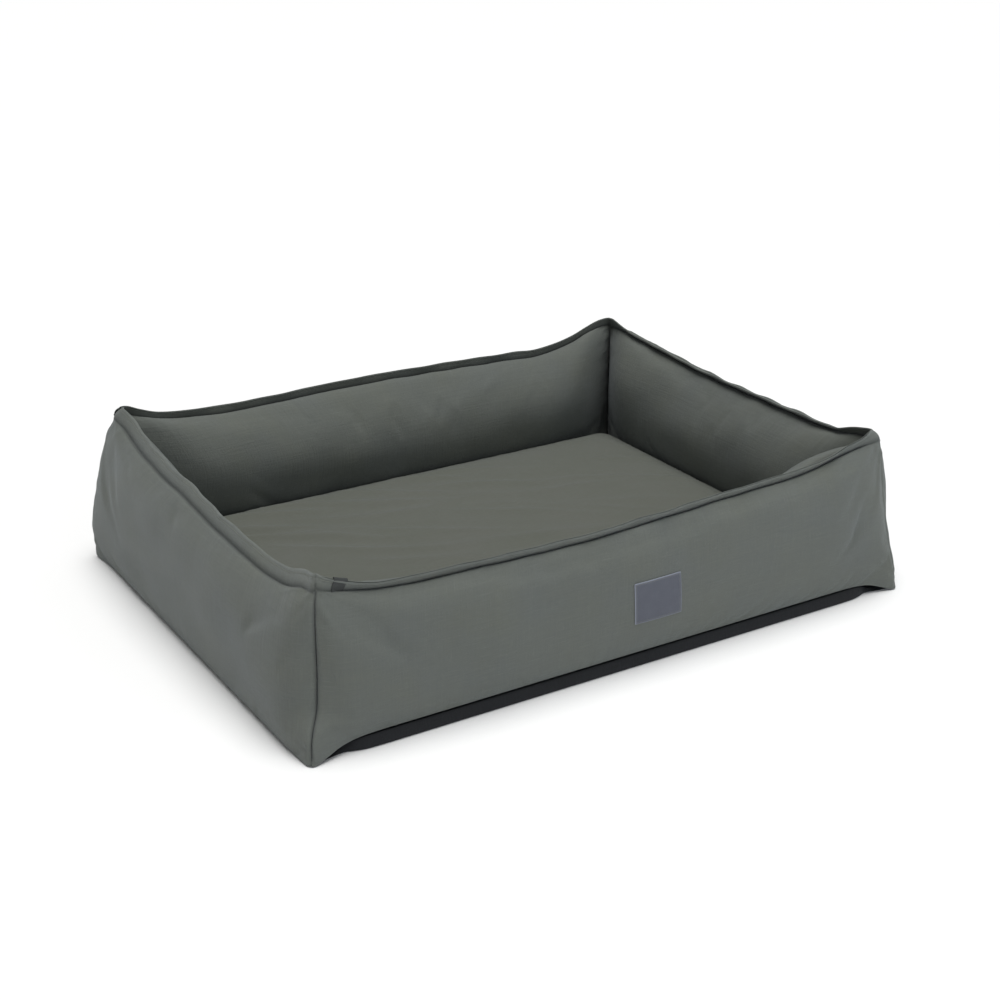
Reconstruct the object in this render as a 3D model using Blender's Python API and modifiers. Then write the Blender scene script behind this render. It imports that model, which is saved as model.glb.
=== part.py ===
"""Rectangular dog bed with a padded frame: four sewn bolster walls on a black base sheet,
a lift-out box cushion, a zip along the foot of every wall and one in the cushion's rear band.
Metres, +Z up, X along the long side, Y towards the back, origin on the floor under the middle."""

import math

import bmesh
import bpy
from mathutils import Matrix, Vector

for old in list(bpy.data.objects):
    bpy.data.objects.remove(old, do_unlink=True)

# ---------------------------------------------------------------- driving dimensions
RIDGE_X = 0.464          # half length between the ridge seams of the short walls
RIDGE_Y = 0.344          # half width between the ridge seams of the long walls
FABRIC = 0.0012          # canvas, two plies with seam allowance
PLY = 0.0010             # half the distance between the two plies of the stand-up flange
TOP_MID = 0.226          # top of the stand-up flange in the middle of a wall
EAR = 0.029              # how much higher the flange stands at a corner
EAR_REACH = 0.045        # length over which the ear falls away
BOW = 0.018              # how far the ridge of a wall bows outward in its middle
FLANGE = 0.019           # height of the stand-up flange
OUT_BULGE = {"front": 0.0350, "back": 0.0350, "left": 0.0490, "right": 0.0490}   # outward bulge of each span
IN_BULGE = {"front": 0.0630, "back": 0.0630, "left": 0.0520, "right": 0.0520}   # inward bulge of each span
FOOT_IN = 0.0320         # inset of the inner foot, where the zip is
FOOT_Z = 0.0360          # lower edge of the inner panel, top of the zip tape
TOE = 0.037              # outward reach of a corner at the floor
EDGE_MID = 0.0130        # height of the outer panel's lower edge in the middle of a wall
EDGE_CORNER = 0.0028     # and at a corner
MITRE = 0.0017           # how far every panel stops short of the corner plane
SKIN_GAP = 0.0042        # padding to the middle of the canvas
STATIONS = 14            # steps along a wall
FLANGE_AT = 12 / 14      # where the flange begins, as a share of the rows of a panel

CUSHION_X, CUSHION_Y = 0.4150, 0.2845   # half size over the sewn edges of the cushion
CUSHION_LOW, CUSHION_TOP = 0.0042, 0.0765   # middle of the lower and upper cushion panels
BAND_IN = 0.0080         # the boxing band stands this far inside the sewn edges
CORNER_R = 0.020         # corner radius of the cushion
TOPPER = 0.0120          # comfort layer on the cushion foam

ZIP_TAPE = 0.0008
ZIP_END = 0.1600         # a wall's zip stops this far from the corner of the ridge
ZIP_COIL_W, ZIP_COIL_H = 0.0060, 0.0018
SLIDER_L, SLIDER_W = 0.0120, 0.0090
PULL_L, PULL_W = 0.0140, 0.0062
LABEL_W, LABEL_H = 0.080, 0.062
LABEL_X, LABEL_Z = 0.040, 0.104
TAB_W, TAB_X = 0.018, -0.4330

COL = bpy.data.collections.new("dog_bed_with_frame")
CUT = bpy.data.collections.new("cutters")
for c in (COL, CUT):
    bpy.context.scene.collection.children.link(c)


def material(name, colour, rough, metal=0.0):
    m = bpy.data.materials.new(name)
    m.use_nodes = True
    b = m.node_tree.nodes["Principled BSDF"]
    b.inputs["Base Color"].default_value = (*colour, 1.0)
    b.inputs["Roughness"].default_value = rough
    b.inputs["Metallic"].default_value = metal
    m.diffuse_color = (*colour, 1.0)
    return m


CANVAS = (0.125, 0.135, 0.118)


def empty(name, at=(0, 0, 0), rot=(0, 0, 0), parent=None):
    e = bpy.data.objects.new(name, None)
    e.empty_display_size = 0.02
    e.location, e.rotation_euler = at, rot
    e.parent = parent
    COL.objects.link(e)
    return e


ROOT = empty("dog_bed_root")


def place(name, mesh, colour, rough, metal=0.0, parent=None, collection=None):
    o = bpy.data.objects.new(name, mesh)
    (collection or COL).objects.link(o)
    o.parent = parent or ROOT
    mesh.materials.clear()
    mesh.materials.append(material("mat_" + name, colour, rough, metal))
    return o


def finish(o, angle=50):
    """Bakes an object's modifiers and shades it smooth up to its sharp edges."""
    dg = bpy.context.evaluated_depsgraph_get()
    done = bpy.data.meshes.new_from_object(o.evaluated_get(dg))
    o.modifiers.clear()
    o.data = done
    done.polygons.foreach_set("use_smooth", [True] * len(done.polygons))
    done.set_sharp_from_angle(angle=math.radians(angle))
    return o


def sheet(name, fn, nu, nv, thick, colour, rough, parent=None):
    """An open surface from a mapped grid, made solid by Solidify."""
    bm = bmesh.new()
    bmesh.ops.create_grid(bm, x_segments=nu, y_segments=nv, size=1.0)
    for v in bm.verts:
        v.co = Vector(fn((v.co.x + 1) / 2, (v.co.y + 1) / 2))
    me = bpy.data.meshes.new(name)
    bm.to_mesh(me)
    bm.free()
    o = place(name, me, colour, rough, parent=parent)
    s = o.modifiers.new("cloth_thickness", "SOLIDIFY")
    s.thickness, s.offset = thick, 0.0
    return finish(o)


def loft(name, rings, colour, rough, metal=0.0, parent=None, collection=None):
    """A closed solid through rings of equal count, with flat ends."""
    bm = bmesh.new()
    rows = [[bm.verts.new(p) for p in ring] for ring in rings]
    n = len(rows[0])
    for a, b in zip(rows, rows[1:]):
        for i in range(n):
            bm.faces.new((a[i], a[(i + 1) % n], b[(i + 1) % n], b[i]))
    bm.faces.new(list(reversed(rows[0])))
    bm.faces.new(rows[-1])
    bmesh.ops.recalc_face_normals(bm, faces=bm.faces)
    me = bpy.data.meshes.new(name)
    bm.to_mesh(me)
    bm.free()
    return place(name, me, colour, rough, metal, parent, collection)


def lerp_table(x, table):
    for (x0, y0), (x1, y1) in zip(table, table[1:]):
        if x <= x1:
            t = (x - x0) / (x1 - x0)
            return y0 + (y1 - y0) * t
    return table[-1][1]


def smooth_table(x, table):
    """Smoothly joined values through a short table of section points."""
    n = len(table)
    for i in range(n - 1):
        x0, y0 = table[i]
        x1, y1 = table[i + 1]
        if x <= x1 or i == n - 2:
            h = x1 - x0

            def slope(k):
                if k <= 0 or k >= n - 1:
                    return (table[min(k + 1, n - 1)][1] - table[max(k - 1, 0)][1]) / (
                        table[min(k + 1, n - 1)][0] - table[max(k - 1, 0)][0])
                return (table[k + 1][1] - table[k - 1][1]) / (table[k + 1][0] - table[k - 1][0])

            t = (x - x0) / h
            m0, m1 = slope(i) * h, slope(i + 1) * h
            return ((2 * t**3 - 3 * t * t + 1) * y0 + (t**3 - 2 * t * t + t) * m0
                    + (3 * t * t - 2 * t**3) * y1 + (t**3 - t * t) * m1)
    return table[-1][1]


# section of a wall: fraction of the height under the flange -> share of the full reach
OUTER_SHAPE = ((0.0, 0.90), (0.10, 0.955), (0.25, 0.995), (0.42, 1.0), (0.62, 0.90),
               (0.80, 0.66), (0.92, 0.36), (1.0, 0.0))
INNER_SHAPE = ((0.0, 0.505), (0.17, 0.55), (0.32, 0.80), (0.47, 0.965), (0.58, 1.0), (0.72, 0.93),
               (0.85, 0.70), (0.94, 0.38), (1.0, 0.0))
TOE_SHAPE = ((0.0, 1.0), (0.13, 0.94), (0.25, 0.70), (0.35, 0.54), (0.5, 0.41), (0.7, 0.30),
             (0.9, 0.19), (1.0, 0.0))


def span_weight(d):
    """0 on a corner seam, 1 on the open span of a wall."""
    return 1.0 - math.exp(-((max(d, 0.0) / 0.060) ** 1.4))


def inner_weight(d):
    """The same for the inner panels, which are drawn right into the corner."""
    return 1.0 - math.exp(-((max(d, 0.0) / 0.050) ** 1.8))


def bow(t, v):
    return BOW * (1.0 - abs(t) ** 2.5) * max(v, 0.0) ** 1.5


def flange_top(d):
    return TOP_MID + EAR * math.exp(-max(d, 0.0) / EAR_REACH)


def edge_height(d):
    return EDGE_CORNER + (EDGE_MID - EDGE_CORNER) * span_weight(d)


def foot_height(d):
    """Lower edge of an inner panel: over the zip on the span, down to the base at the corners."""
    return 0.0065 + (FOOT_Z - 0.0065) * min(1.0, max(0.0, (d - 0.060) / 0.045))


def outer_reach(wall, v, d):
    w = span_weight(d)
    return w * OUT_BULGE[wall] * smooth_table(v, OUTER_SHAPE) + (1 - w) * TOE * smooth_table(v, TOE_SHAPE)


def inner_reach(wall, v, d):
    w = inner_weight(d)
    return IN_BULGE[wall] * smooth_table(v, INNER_SHAPE) * (w + (1.0 - w) * 0.12)


# each wall: direction along it, outward direction, ridge offset, half length on the ridge
WALLS = {
    "front": (Vector((1, 0, 0)), Vector((0, -1, 0)), RIDGE_Y, RIDGE_X),
    "right": (Vector((0, 1, 0)), Vector((1, 0, 0)), RIDGE_X, RIDGE_Y),
    "back": (Vector((-1, 0, 0)), Vector((0, 1, 0)), RIDGE_Y, RIDGE_X),
    "left": (Vector((0, -1, 0)), Vector((-1, 0, 0)), RIDGE_X, RIDGE_Y),
}


def station(a):
    """Stations closer together near the corners, where the shape changes fastest."""
    t = 2 * a - 1
    return math.copysign(1 - (1 - abs(t)) ** 1.7, t)


def wall_point(wall, t, u, z, short, u_end=None):
    """t in -1..1 along the wall; u outward from the ridge; the ends follow the corner plane."""
    along, out, ridge, half = WALLS[wall]
    s = t * (half + (u if u_end is None else u_end) - short)
    return along * s + out * (ridge + u) + Vector((0, 0, z))


def outer_surface(wall, a, b, lift=0.0, short=MITRE):
    t = station(a)
    d = WALLS[wall][3] * (1 - abs(t))
    top, low = flange_top(d), edge_height(d)
    base = top - FLANGE
    if b > FLANGE_AT:
        return wall_point(wall, t, bow(t, 1.0) + PLY + lift,
                          base + (b - FLANGE_AT) / (1 - FLANGE_AT) * FLANGE, short)
    v = b / FLANGE_AT
    u = bow(t, v) + max(outer_reach(wall, v, d), 0.0) + PLY
    return wall_point(wall, t, u + lift, low + (base - low) * v, short)


def inner_surface(wall, a, b, lift=0.0, short=MITRE):
    t = station(a)
    d = WALLS[wall][3] * (1 - abs(t))
    top, foot = flange_top(d), foot_height(d)
    base = top - FLANGE
    if b > FLANGE_AT:
        return wall_point(wall, t, bow(t, 1.0) - PLY - lift,
                          base + (b - FLANGE_AT) / (1 - FLANGE_AT) * FLANGE, short)
    z = foot + (base - foot) * b / FLANGE_AT
    v = z / base
    u = bow(t, v) - max(inner_reach(wall, v, d), 0.0) - PLY
    return wall_point(wall, t, u - lift, z, short)


# ---------------------------------------------------------------- base
RIM_FOOT, RIM_OUT = 0.0240, 0.0285       # reach of the floor sheet and of its turned-up rim
END_MORE = 0.0115        # both reach further under the fuller end walls


def base_point(a, b):
    """Flat floor sheet whose outermost ring turns up behind the lower edge of the walls."""
    nx, ny = STATIONS + 4, STATIONS + 2
    i, j = round(a * nx), round(b * ny)

    def coord(k, n, half):
        if k == 0 or k == n:
            return None
        if k == 1 or k == n - 1:
            return math.copysign(half + RIM_FOOT, k - n / 2)
        t = (k - 1) / (n - 2) * 2 - 1
        return (half + RIM_FOOT) * math.copysign(1 - (1 - abs(t)) ** 1.4, t)

    x, y = coord(i, nx, RIDGE_X), coord(j, ny, RIDGE_Y)
    more = 0.0 if y is None else END_MORE * span_weight(max(0.0, RIDGE_Y - abs(y)))
    z = FABRIC / 2
    dx = RIDGE_X - abs(x) if x is not None else 0.0
    dy = RIDGE_Y - abs(y) if y is not None else 0.0
    rim_u, rim_z = RIM_OUT, 0.0
    if x is None or y is None:
        d = max(0.0, dx if y is None else dy)
        if x is None and y is None:
            d = 0.0
        rim_z = edge_height(d) + 0.0010 - 0.0014 * (1 - span_weight(d))
        z = max(z, rim_z)
    if x is None:
        x = math.copysign(RIDGE_X + rim_u + more, i - nx / 2)
    else:
        x *= 1 + more / (RIDGE_X + RIM_FOOT)
    if y is None:
        y = math.copysign(RIDGE_Y + rim_u, j - ny / 2)
    return (x, y, z)


sheet("base_sheet", base_point, STATIONS + 4, STATIONS + 2, FABRIC, (0.012, 0.013, 0.015), 0.85)

bm = bmesh.new()
bmesh.ops.create_cube(bm, size=1.0)
for v in bm.verts:
    v.co = Vector((v.co.x * 2 * (RIDGE_X + 0.006), v.co.y * 2 * (RIDGE_Y + 0.006),
                   0.0026 + v.co.z * 0.0008))
lining = bpy.data.meshes.new("base_lining")
bm.to_mesh(lining)
bm.free()
place("base_lining", lining, (0.030, 0.032, 0.034), 0.9)

# ---------------------------------------------------------------- walls
for wall in WALLS:
    sheet(f"{wall}_outer_panel", lambda a, b, w=wall: outer_surface(w, a, b), STATIONS, 14,
          FABRIC, CANVAS, 0.9)
    sheet(f"{wall}_inner_panel", lambda a, b, w=wall: inner_surface(w, a, b), STATIONS, 14,
          FABRIC, CANVAS, 0.9)

    rings = []
    steps = 10
    for k in range(STATIONS + 1):
        t = station(k / STATIONS)
        half = WALLS[wall][3]
        d = half * (1 - abs(t))
        base = flange_top(d) - FLANGE
        low, high = edge_height(d), base - 0.017
        levels = [0.0050] + [0.0190 + (high - 0.0190) * i / (steps - 1) for i in range(steps)]
        ring = []
        for z in levels:
            v = min(max((z - low) / (base - low), 0.0), 1.0)
            u = max(outer_reach(wall, v, d) - SKIN_GAP - 0.0012, 0.0006)
            if z < 0.020:
                u = min(u, 0.0215 + 0.20 * (z - 0.0050))
            ring.append(wall_point(wall, t, u + bow(t, v), z, 0.0026))
        for z in reversed(levels):
            skin = -inner_reach(wall, z / base, d)
            u = min(skin + SKIN_GAP + 0.0012, -0.0006)
            u = max(u, -(FOOT_IN - 0.0042)) if z < FOOT_Z + 0.004 else u
            lean = bow(t, z / base)
            ring.append(wall_point(wall, t, u + lean, z, 0.0026, min(skin, u) + lean))
        rings.append(ring)
    finish(loft(f"{wall}_wall_foam", rings, (0.62, 0.60, 0.50), 0.95), 60)

# ---------------------------------------------------------------- label and ribbon tab
def label_point(a, b):
    x = LABEL_X + (a - 0.5) * LABEL_W
    z = LABEL_Z + (b - 0.5) * LABEL_H
    d = RIDGE_X - abs(x)
    low, base = edge_height(d), flange_top(d) - FLANGE
    v = (z - low) / (base - low)
    u = bow(x / RIDGE_X, v) + outer_reach("front", v, d) + PLY + 0.0018
    return (x, -(RIDGE_Y + u), z)


sheet("label_patch", label_point, 6, 8, 0.0008, (0.105, 0.110, 0.145), 0.75)

rings = []
for k in range(5):
    x = TAB_X + TAB_W * (k / 4 - 0.5)
    top = flange_top(RIDGE_X - abs(x)) + 0.0018
    at = -RIDGE_Y - bow(x / RIDGE_X, 1.0)
    o_, i_ = 0.0032, 0.0022
    ring = [(-o_, top - 0.0175), (-o_, top + 0.0006), (-o_ + 0.001, top + 0.0014),
            (o_ - 0.001, top + 0.0014), (o_, top + 0.0006), (o_, top - 0.0175),
            (i_, top - 0.0175), (i_, top + 0.0004), (-i_, top + 0.0004), (-i_, top - 0.0175)]
    rings.append([Vector((x, at + p, z)) for p, z in ring])
loft("ribbon_tab", rings, (0.012, 0.014, 0.018), 0.7)


# ---------------------------------------------------------------- cushion
def rounded(hx, hy, r, z, n=6):
    pts = []
    for cx, cy, a0 in ((hx - r, hy - r, 0), (-hx + r, hy - r, 90), (-hx + r, -hy + r, 180),
                       (hx - r, -hy + r, 270)):
        for k in range(n + 1):
            a = math.radians(a0 + 90 * k / n)
            pts.append(Vector((cx + r * math.cos(a), cy + r * math.sin(a), z)))
    return pts


CUSHION = empty("cushion_root", parent=ROOT)
BX, BY = CUSHION_X - BAND_IN, CUSHION_Y - BAND_IN
SOFT = (0.130, 0.132, 0.110)


def slab(name, hx, hy, r, z0, z1, colour, rough, soft=0.0):
    """A flat layer with rounded corners; soft rounds its upper edge."""
    rings = [rounded(hx, hy, r, z0)]
    if soft:
        rings += [rounded(hx, hy, r, z1 - soft), rounded(hx - 0.3 * soft, hy - 0.3 * soft, r, z1 - 0.3 * soft),
                  rounded(hx - soft, hy - soft, r, z1)]
    else:
        rings.append(rounded(hx, hy, r, z1))
    return finish(loft(name, rings, colour, rough, parent=CUSHION), 40)


slab("cushion_bottom_panel", CUSHION_X, CUSHION_Y, CORNER_R, CUSHION_LOW - 0.0005,
     CUSHION_LOW + 0.0005, SOFT, 0.9)
slab("cushion_top_panel", CUSHION_X, CUSHION_Y, CORNER_R, CUSHION_TOP - 0.0006,
     CUSHION_TOP + 0.0006, SOFT, 0.9)
FOAM_TOP = CUSHION_TOP - 0.0012 - TOPPER
slab("cushion_foam", BX - 0.0022, BY - 0.0022, CORNER_R - 0.009, CUSHION_LOW + 0.0012,
     FOAM_TOP - 0.0004, (0.70, 0.67, 0.55), 0.95)
slab("cushion_topper", BX - 0.0022, BY - 0.0022, CORNER_R - 0.009, FOAM_TOP,
     CUSHION_TOP - 0.0012, (0.86, 0.86, 0.84), 0.95, soft=0.004)

# the band: a ring of cloth between the two panels, slotted at the back for its zip
LOW_B, HIGH_B = CUSHION_LOW + 0.0010, CUSHION_TOP - 0.0012
bm = bmesh.new()
edges = []
loop = [bm.verts.new(p) for p in rounded(BX, BY, CORNER_R - 0.008, LOW_B)]
for i in range(len(loop)):
    edges.append(bm.edges.new((loop[i], loop[(i + 1) % len(loop)])))
up = bmesh.ops.extrude_edge_only(bm, edges=edges)
for v in (g for g in up["geom"] if isinstance(g, bmesh.types.BMVert)):
    v.co.z = HIGH_B
bmesh.ops.recalc_face_normals(bm, faces=bm.faces)
band = bpy.data.meshes.new("cushion_band")
bm.to_mesh(band)
bm.free()
band_o = place("cushion_band", band, SOFT, 0.9, parent=CUSHION)
s = band_o.modifiers.new("cloth_thickness", "SOLIDIFY")
s.thickness, s.offset, s.use_even_offset = 0.0010, 0.0, True
CUSHION_ZIP = 0.520
CUSHION_ZIP_Z = 0.0440
bm = bmesh.new()
bmesh.ops.create_cube(bm, size=1.0)
for v in bm.verts:
    v.co = Vector((v.co.x * (CUSHION_ZIP - 0.020), BY + v.co.y * 0.006,
                   CUSHION_ZIP_Z + v.co.z * 0.0070))
slot = bpy.data.meshes.new("band_slot")
bm.to_mesh(slot)
bm.free()
slot_o = place("band_slot", slot, (1, 0, 0), 0.5, parent=CUSHION, collection=CUT)
slot_o.hide_render = True
slot_o.display_type = "WIRE"
b = band_o.modifiers.new("zip_slot", "BOOLEAN")
b.operation, b.solver, b.object = "DIFFERENCE", "EXACT", slot_o
finish(band_o, 30)

# ---------------------------------------------------------------- zips
ZIP_BLACK = (0.016, 0.017, 0.019)


def extrude_face(name, pts, depth, axis, **kw):
    """A flat outline pushed out both ways from its own plane."""
    half = Vector(axis) * (depth / 2)
    return loft(name, [[Vector(p) - half for p in pts], [Vector(p) + half for p in pts]], **kw)


def zip_set(prefix, root, length, tape_h, low, rest_at, pull_len):
    """Tape with its coil, slider and pull. Local X runs along the zip, Y is out of the cloth."""
    t, cw, ch = ZIP_TAPE / 2, ZIP_COIL_W / 2, ZIP_COIL_H
    mid = low + tape_h / 2
    ring = [(-t, low), (t, low), (t, mid - cw), (t + ch * 0.6, mid - cw * 0.85),
            (t + ch, mid - cw * 0.4), (t + ch, mid + cw * 0.4), (t + ch * 0.6, mid + cw * 0.85),
            (t, mid + cw), (t, low + tape_h), (-t, low + tape_h)]
    rings = [[Vector((x, p, z)) for p, z in ring] for x in (-length / 2, length / 2)]
    loft(f"{prefix}_zip_tape", rings, ZIP_BLACK, 0.8, parent=root)

    carrier = empty(f"{prefix}_slider_root", at=(rest_at, 0, mid), parent=root)
    under, plate = t + ch + 0.0003, 0.0012
    w, g = SLIDER_W / 2, cw + 0.0004
    lip = t + 0.0004
    prof = [(lip, -w), (under + plate, -w), (under + plate, w), (lip, w), (lip, g), (under, g),
            (under, -g), (lip, -g)]
    body = loft(f"{prefix}_zip_slider",
                [[Vector((x, p, z)) for p, z in prof] for x in (-SLIDER_L / 2, SLIDER_L / 2)],
                (0.05, 0.05, 0.055), 0.35, 1.0, carrier)
    axis = under + plate + 0.0011
    n = 10
    outer = [(0.0028 * math.cos(math.pi * k / n), axis + 0.0028 * math.sin(math.pi * k / n))
             for k in range(n + 1)]
    inner = [(0.0015 * math.cos(math.pi * k / n), axis + 0.0015 * math.sin(math.pi * k / n))
             for k in range(n, -1, -1)]
    foot = under + plate - 0.0004
    arch = ([(0.0028, foot)] + outer + [(-0.0028, foot), (-0.0015, foot)]
            + inner + [(0.0015, foot)])
    pts = [Vector((x, y, 0)) for x, y in arch]
    bail = extrude_face(f"{prefix}_bail", pts, 0.0018, (0, 0, 1), colour=(0, 1, 0), rough=0.5,
                        parent=carrier, collection=CUT)
    bail.hide_render = True
    bail.display_type = "WIRE"
    u = body.modifiers.new("bail", "BOOLEAN")
    u.operation, u.solver, u.object = "UNION", "EXACT", bail
    bpy.context.view_layer.update()
    finish(body, 35)

    hinge = empty(f"{prefix}_pull_root", at=(0, axis, 0), parent=carrier)
    th = 0.00045
    hw, win = PULL_W / 2, 0.0015
    bm = bmesh.new()
    bmesh.ops.create_grid(bm, x_segments=3, y_segments=3, size=1.0)
    xs = [-th, th + 0.0001, 0.0042, pull_len]
    zs = [-hw, -win, win, hw]
    order = sorted({round(v.co.x, 4) for v in bm.verts})
    rows = sorted({round(v.co.y, 4) for v in bm.verts})
    for v in bm.verts:
        v.co = Vector((xs[order.index(round(v.co.x, 4))], 0.0, zs[rows.index(round(v.co.y, 4))]))
    hole = [f for f in bm.faces if th < f.calc_center_median().x < 0.0042
            and abs(f.calc_center_median().z) < win]
    bmesh.ops.delete(bm, geom=hole, context="FACES")
    me = bpy.data.meshes.new(f"{prefix}_zip_pull")
    bm.to_mesh(me)
    bm.free()
    pull = place(f"{prefix}_zip_pull", me, (0.05, 0.05, 0.055), 0.35, 1.0, hinge)
    s = pull.modifiers.new("plate", "SOLIDIFY")
    s.thickness, s.offset = 2 * th, 0.0
    finish(pull, 30)


TAPE_LOW, TAPE_HIGH = 0.0045, FOOT_Z - 0.0010
for wall, (along, out, ridge, half) in WALLS.items():
    inward = -out
    x_axis = inward.cross(Vector((0, 0, 1)))
    frame = Matrix((x_axis, inward, Vector((0, 0, 1)))).transposed()
    at = out * (ridge - FOOT_IN - PLY)
    root = empty(f"{wall}_zip_root", at=at, rot=frame.to_euler(), parent=ROOT)
    length = 2 * (half - ZIP_END)
    zip_set(f"{wall}", root, length, TAPE_HIGH - TAPE_LOW, TAPE_LOW,
            length / 2 - 0.030, PULL_L)

back = Matrix((Vector((1, 0, 0)), Vector((0, 1, 0)), Vector((0, 0, 1)))).transposed()
root = empty("cushion_zip_root", at=(0, BY + 0.0005 + 0.0004 + ZIP_TAPE / 2, 0),
             rot=back.to_euler(), parent=CUSHION)
zip_set("cushion", root, CUSHION_ZIP, 0.026, CUSHION_ZIP_Z - 0.013, CUSHION_ZIP / 2 - 0.030, 0.0120)
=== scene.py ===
import math

import bmesh
import bpy
import numpy as np
from mathutils import Matrix, Vector


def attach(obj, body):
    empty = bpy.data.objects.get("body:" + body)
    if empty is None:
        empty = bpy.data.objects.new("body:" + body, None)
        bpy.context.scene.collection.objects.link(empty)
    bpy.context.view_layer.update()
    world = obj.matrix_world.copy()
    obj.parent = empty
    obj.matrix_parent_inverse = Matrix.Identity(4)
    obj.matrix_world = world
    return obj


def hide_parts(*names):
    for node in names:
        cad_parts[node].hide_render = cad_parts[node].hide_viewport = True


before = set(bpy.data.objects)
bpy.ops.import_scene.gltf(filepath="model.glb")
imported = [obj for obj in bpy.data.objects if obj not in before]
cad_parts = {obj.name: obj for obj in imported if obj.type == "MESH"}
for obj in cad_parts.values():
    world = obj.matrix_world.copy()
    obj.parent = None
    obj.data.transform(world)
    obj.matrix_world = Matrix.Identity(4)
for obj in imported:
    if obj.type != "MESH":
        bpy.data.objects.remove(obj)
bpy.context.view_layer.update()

TAU = 2 * math.pi

# ------------------------------------------------------------------ numbers
RIDGE_X, RIDGE_Y = 0.464, 0.344
BOW = 0.018
OUT_BULGE = {"front": 0.0355, "back": 0.0355, "left": 0.0500, "right": 0.0495}
IN_BULGE = {"front": 0.063, "back": 0.063, "left": 0.052, "right": 0.052}
FOOT_Z = 0.0360
EDGE_MID = {"front": 0.0200, "right": 0.0125, "back": 0.0125, "left": 0.0036}
EDGE_CORNER = 0.0016
CUSHION_X, CUSHION_Y, CUSHION_R = 0.4150, 0.2845, 0.020
BAND_IN = 0.0080
TOPPER = 0.0120
CLOTH = 0.0007
PLY = 0.0016
ALONG = {"front": (1, 0), "right": (0, 1), "back": (-1, 0), "left": (0, -1)}
OUTWARD = {"front": (0, -1), "right": (1, 0), "back": (0, 1), "left": (-1, 0)}
RIDGE = {"front": RIDGE_Y, "back": RIDGE_Y, "left": RIDGE_X, "right": RIDGE_X}
HALF = {"front": RIDGE_X, "back": RIDGE_X, "left": RIDGE_Y, "right": RIDGE_Y}
WALLS = ("front", "right", "back", "left")
# corners at the start and end of each wall, going round
ENDS = {"front": ("FL", "FR"), "right": ("FR", "BR"), "back": ("BR", "BL"), "left": ("BL", "FL")}
# at each corner: how far out the flange's seam sits, how the flange leans there, in degrees
CORNER_OUT = {"FL": 0.0070, "FR": 0.0090, "BR": 0.0070, "BL": 0.0120}
CORNER_LEAN = {"FL": -14.0, "FR": -36.0, "BR": -16.0, "BL": -36.0}
# reach of each corner seam beyond the ridge corner, against height
SEAM = {
    "FL": ((0.0, 0.0345), (0.020, 0.0352), (0.034, 0.0338), (0.050, 0.0270), (0.064, 0.0180),
           (0.085, 0.0145), (0.12, 0.0120), (0.19, 0.0115), (0.22, 0.0085), (0.26, 0.0)),
    "FR": ((0.0, 0.0360), (0.030, 0.0350), (0.056, 0.0300), (0.081, 0.0250), (0.105, 0.0215),
           (0.13, 0.0180), (0.16, 0.0140), (0.20, 0.0105), (0.235, 0.0080), (0.265, 0.0)),
    "BR": ((0.0, 0.0370), (0.030, 0.0350), (0.056, 0.0295), (0.081, 0.0240), (0.105, 0.0200),
           (0.13, 0.0170), (0.16, 0.0140), (0.20, 0.0110), (0.235, 0.0080), (0.265, 0.0)),
    "BL": ((0.0, 0.0440), (0.020, 0.0470), (0.050, 0.0475), (0.081, 0.0450), (0.107, 0.0415),
           (0.135, 0.0365), (0.165, 0.0300), (0.20, 0.0225), (0.228, 0.0170), (0.250, 0.0130), (0.265, 0.0115)),
}
# top of the flange along each wall (share of the wall from its start, height)
TOP = {
    "front": ((0.0, 0.2475), (0.04, 0.2360), (0.095, 0.2245), (0.16, 0.2225), (0.25, 0.2225),
              (0.33, 0.2215), (0.42, 0.2215), (0.50, 0.2240), (0.60, 0.2290), (0.70, 0.2325),
              (0.80, 0.2350), (0.85, 0.2385), (0.89, 0.2450), (0.93, 0.2505), (0.97, 0.2575),
              (1.0, 0.2590)),
    "right": ((0.0, 0.2590), (0.045, 0.2520), (0.10, 0.2390), (0.18, 0.2345), (0.30, 0.2320),
              (0.46, 0.2315), (0.58, 0.2325), (0.68, 0.2360), (0.78, 0.2430), (0.86, 0.2480),
              (0.93, 0.2555), (0.970, 0.2598), (1.0, 0.2605)),
    "back": ((0.0, 0.2605), (0.020, 0.2598), (0.036, 0.2570), (0.058, 0.2500), (0.090, 0.2385), (0.135, 0.2285), (0.18, 0.2235),
             (0.22, 0.2255), (0.31, 0.2270), (0.40, 0.2290), (0.50, 0.2305), (0.60, 0.2305),
             (0.70, 0.2285), (0.80, 0.2285), (0.87, 0.2330), (0.93, 0.2395), (0.965, 0.2505),
             (0.984, 0.2583), (1.0, 0.2600)),
    "left": ((0.0, 0.2600), (0.020, 0.2590), (0.05, 0.2530), (0.13, 0.2430), (0.27, 0.2370), (0.43, 0.2340),
             (0.54, 0.2280), (0.68, 0.2225), (0.80, 0.2180), (0.88, 0.2220), (0.95, 0.2380),
             (1.0, 0.2475)),
}
LEAN = {"front": 31.0, "right": -53.0, "back": -11.0, "left": -34.0}
FLANGE_L = {"front": 0.0185, "right": 0.0205, "back": 0.0155, "left": 0.0225}
RISE = ((0.0, 0.0), (0.03, 0.034), (0.08, 0.090), (0.18, 0.203), (0.30, 0.338), (0.42, 0.470), (0.55, 0.608),
        (0.66, 0.720), (0.75, 0.809), (0.82, 0.880), (0.88, 0.942), (0.93, 0.993), (0.965, 1.023), (0.985, 1.027),
        (1.0, 1.0))
OUTER_SHAPE = ((0.0, 0.80), (0.03, 0.875), (0.08, 0.930), (0.18, 0.972), (0.30, 0.998), (0.42, 1.0), (0.55, 0.955),
               (0.66, 0.885), (0.75, 0.790), (0.82, 0.685), (0.88, 0.560), (0.93, 0.410), (0.965, 0.255),
               (0.985, 0.125), (1.0, 0.0))
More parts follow.
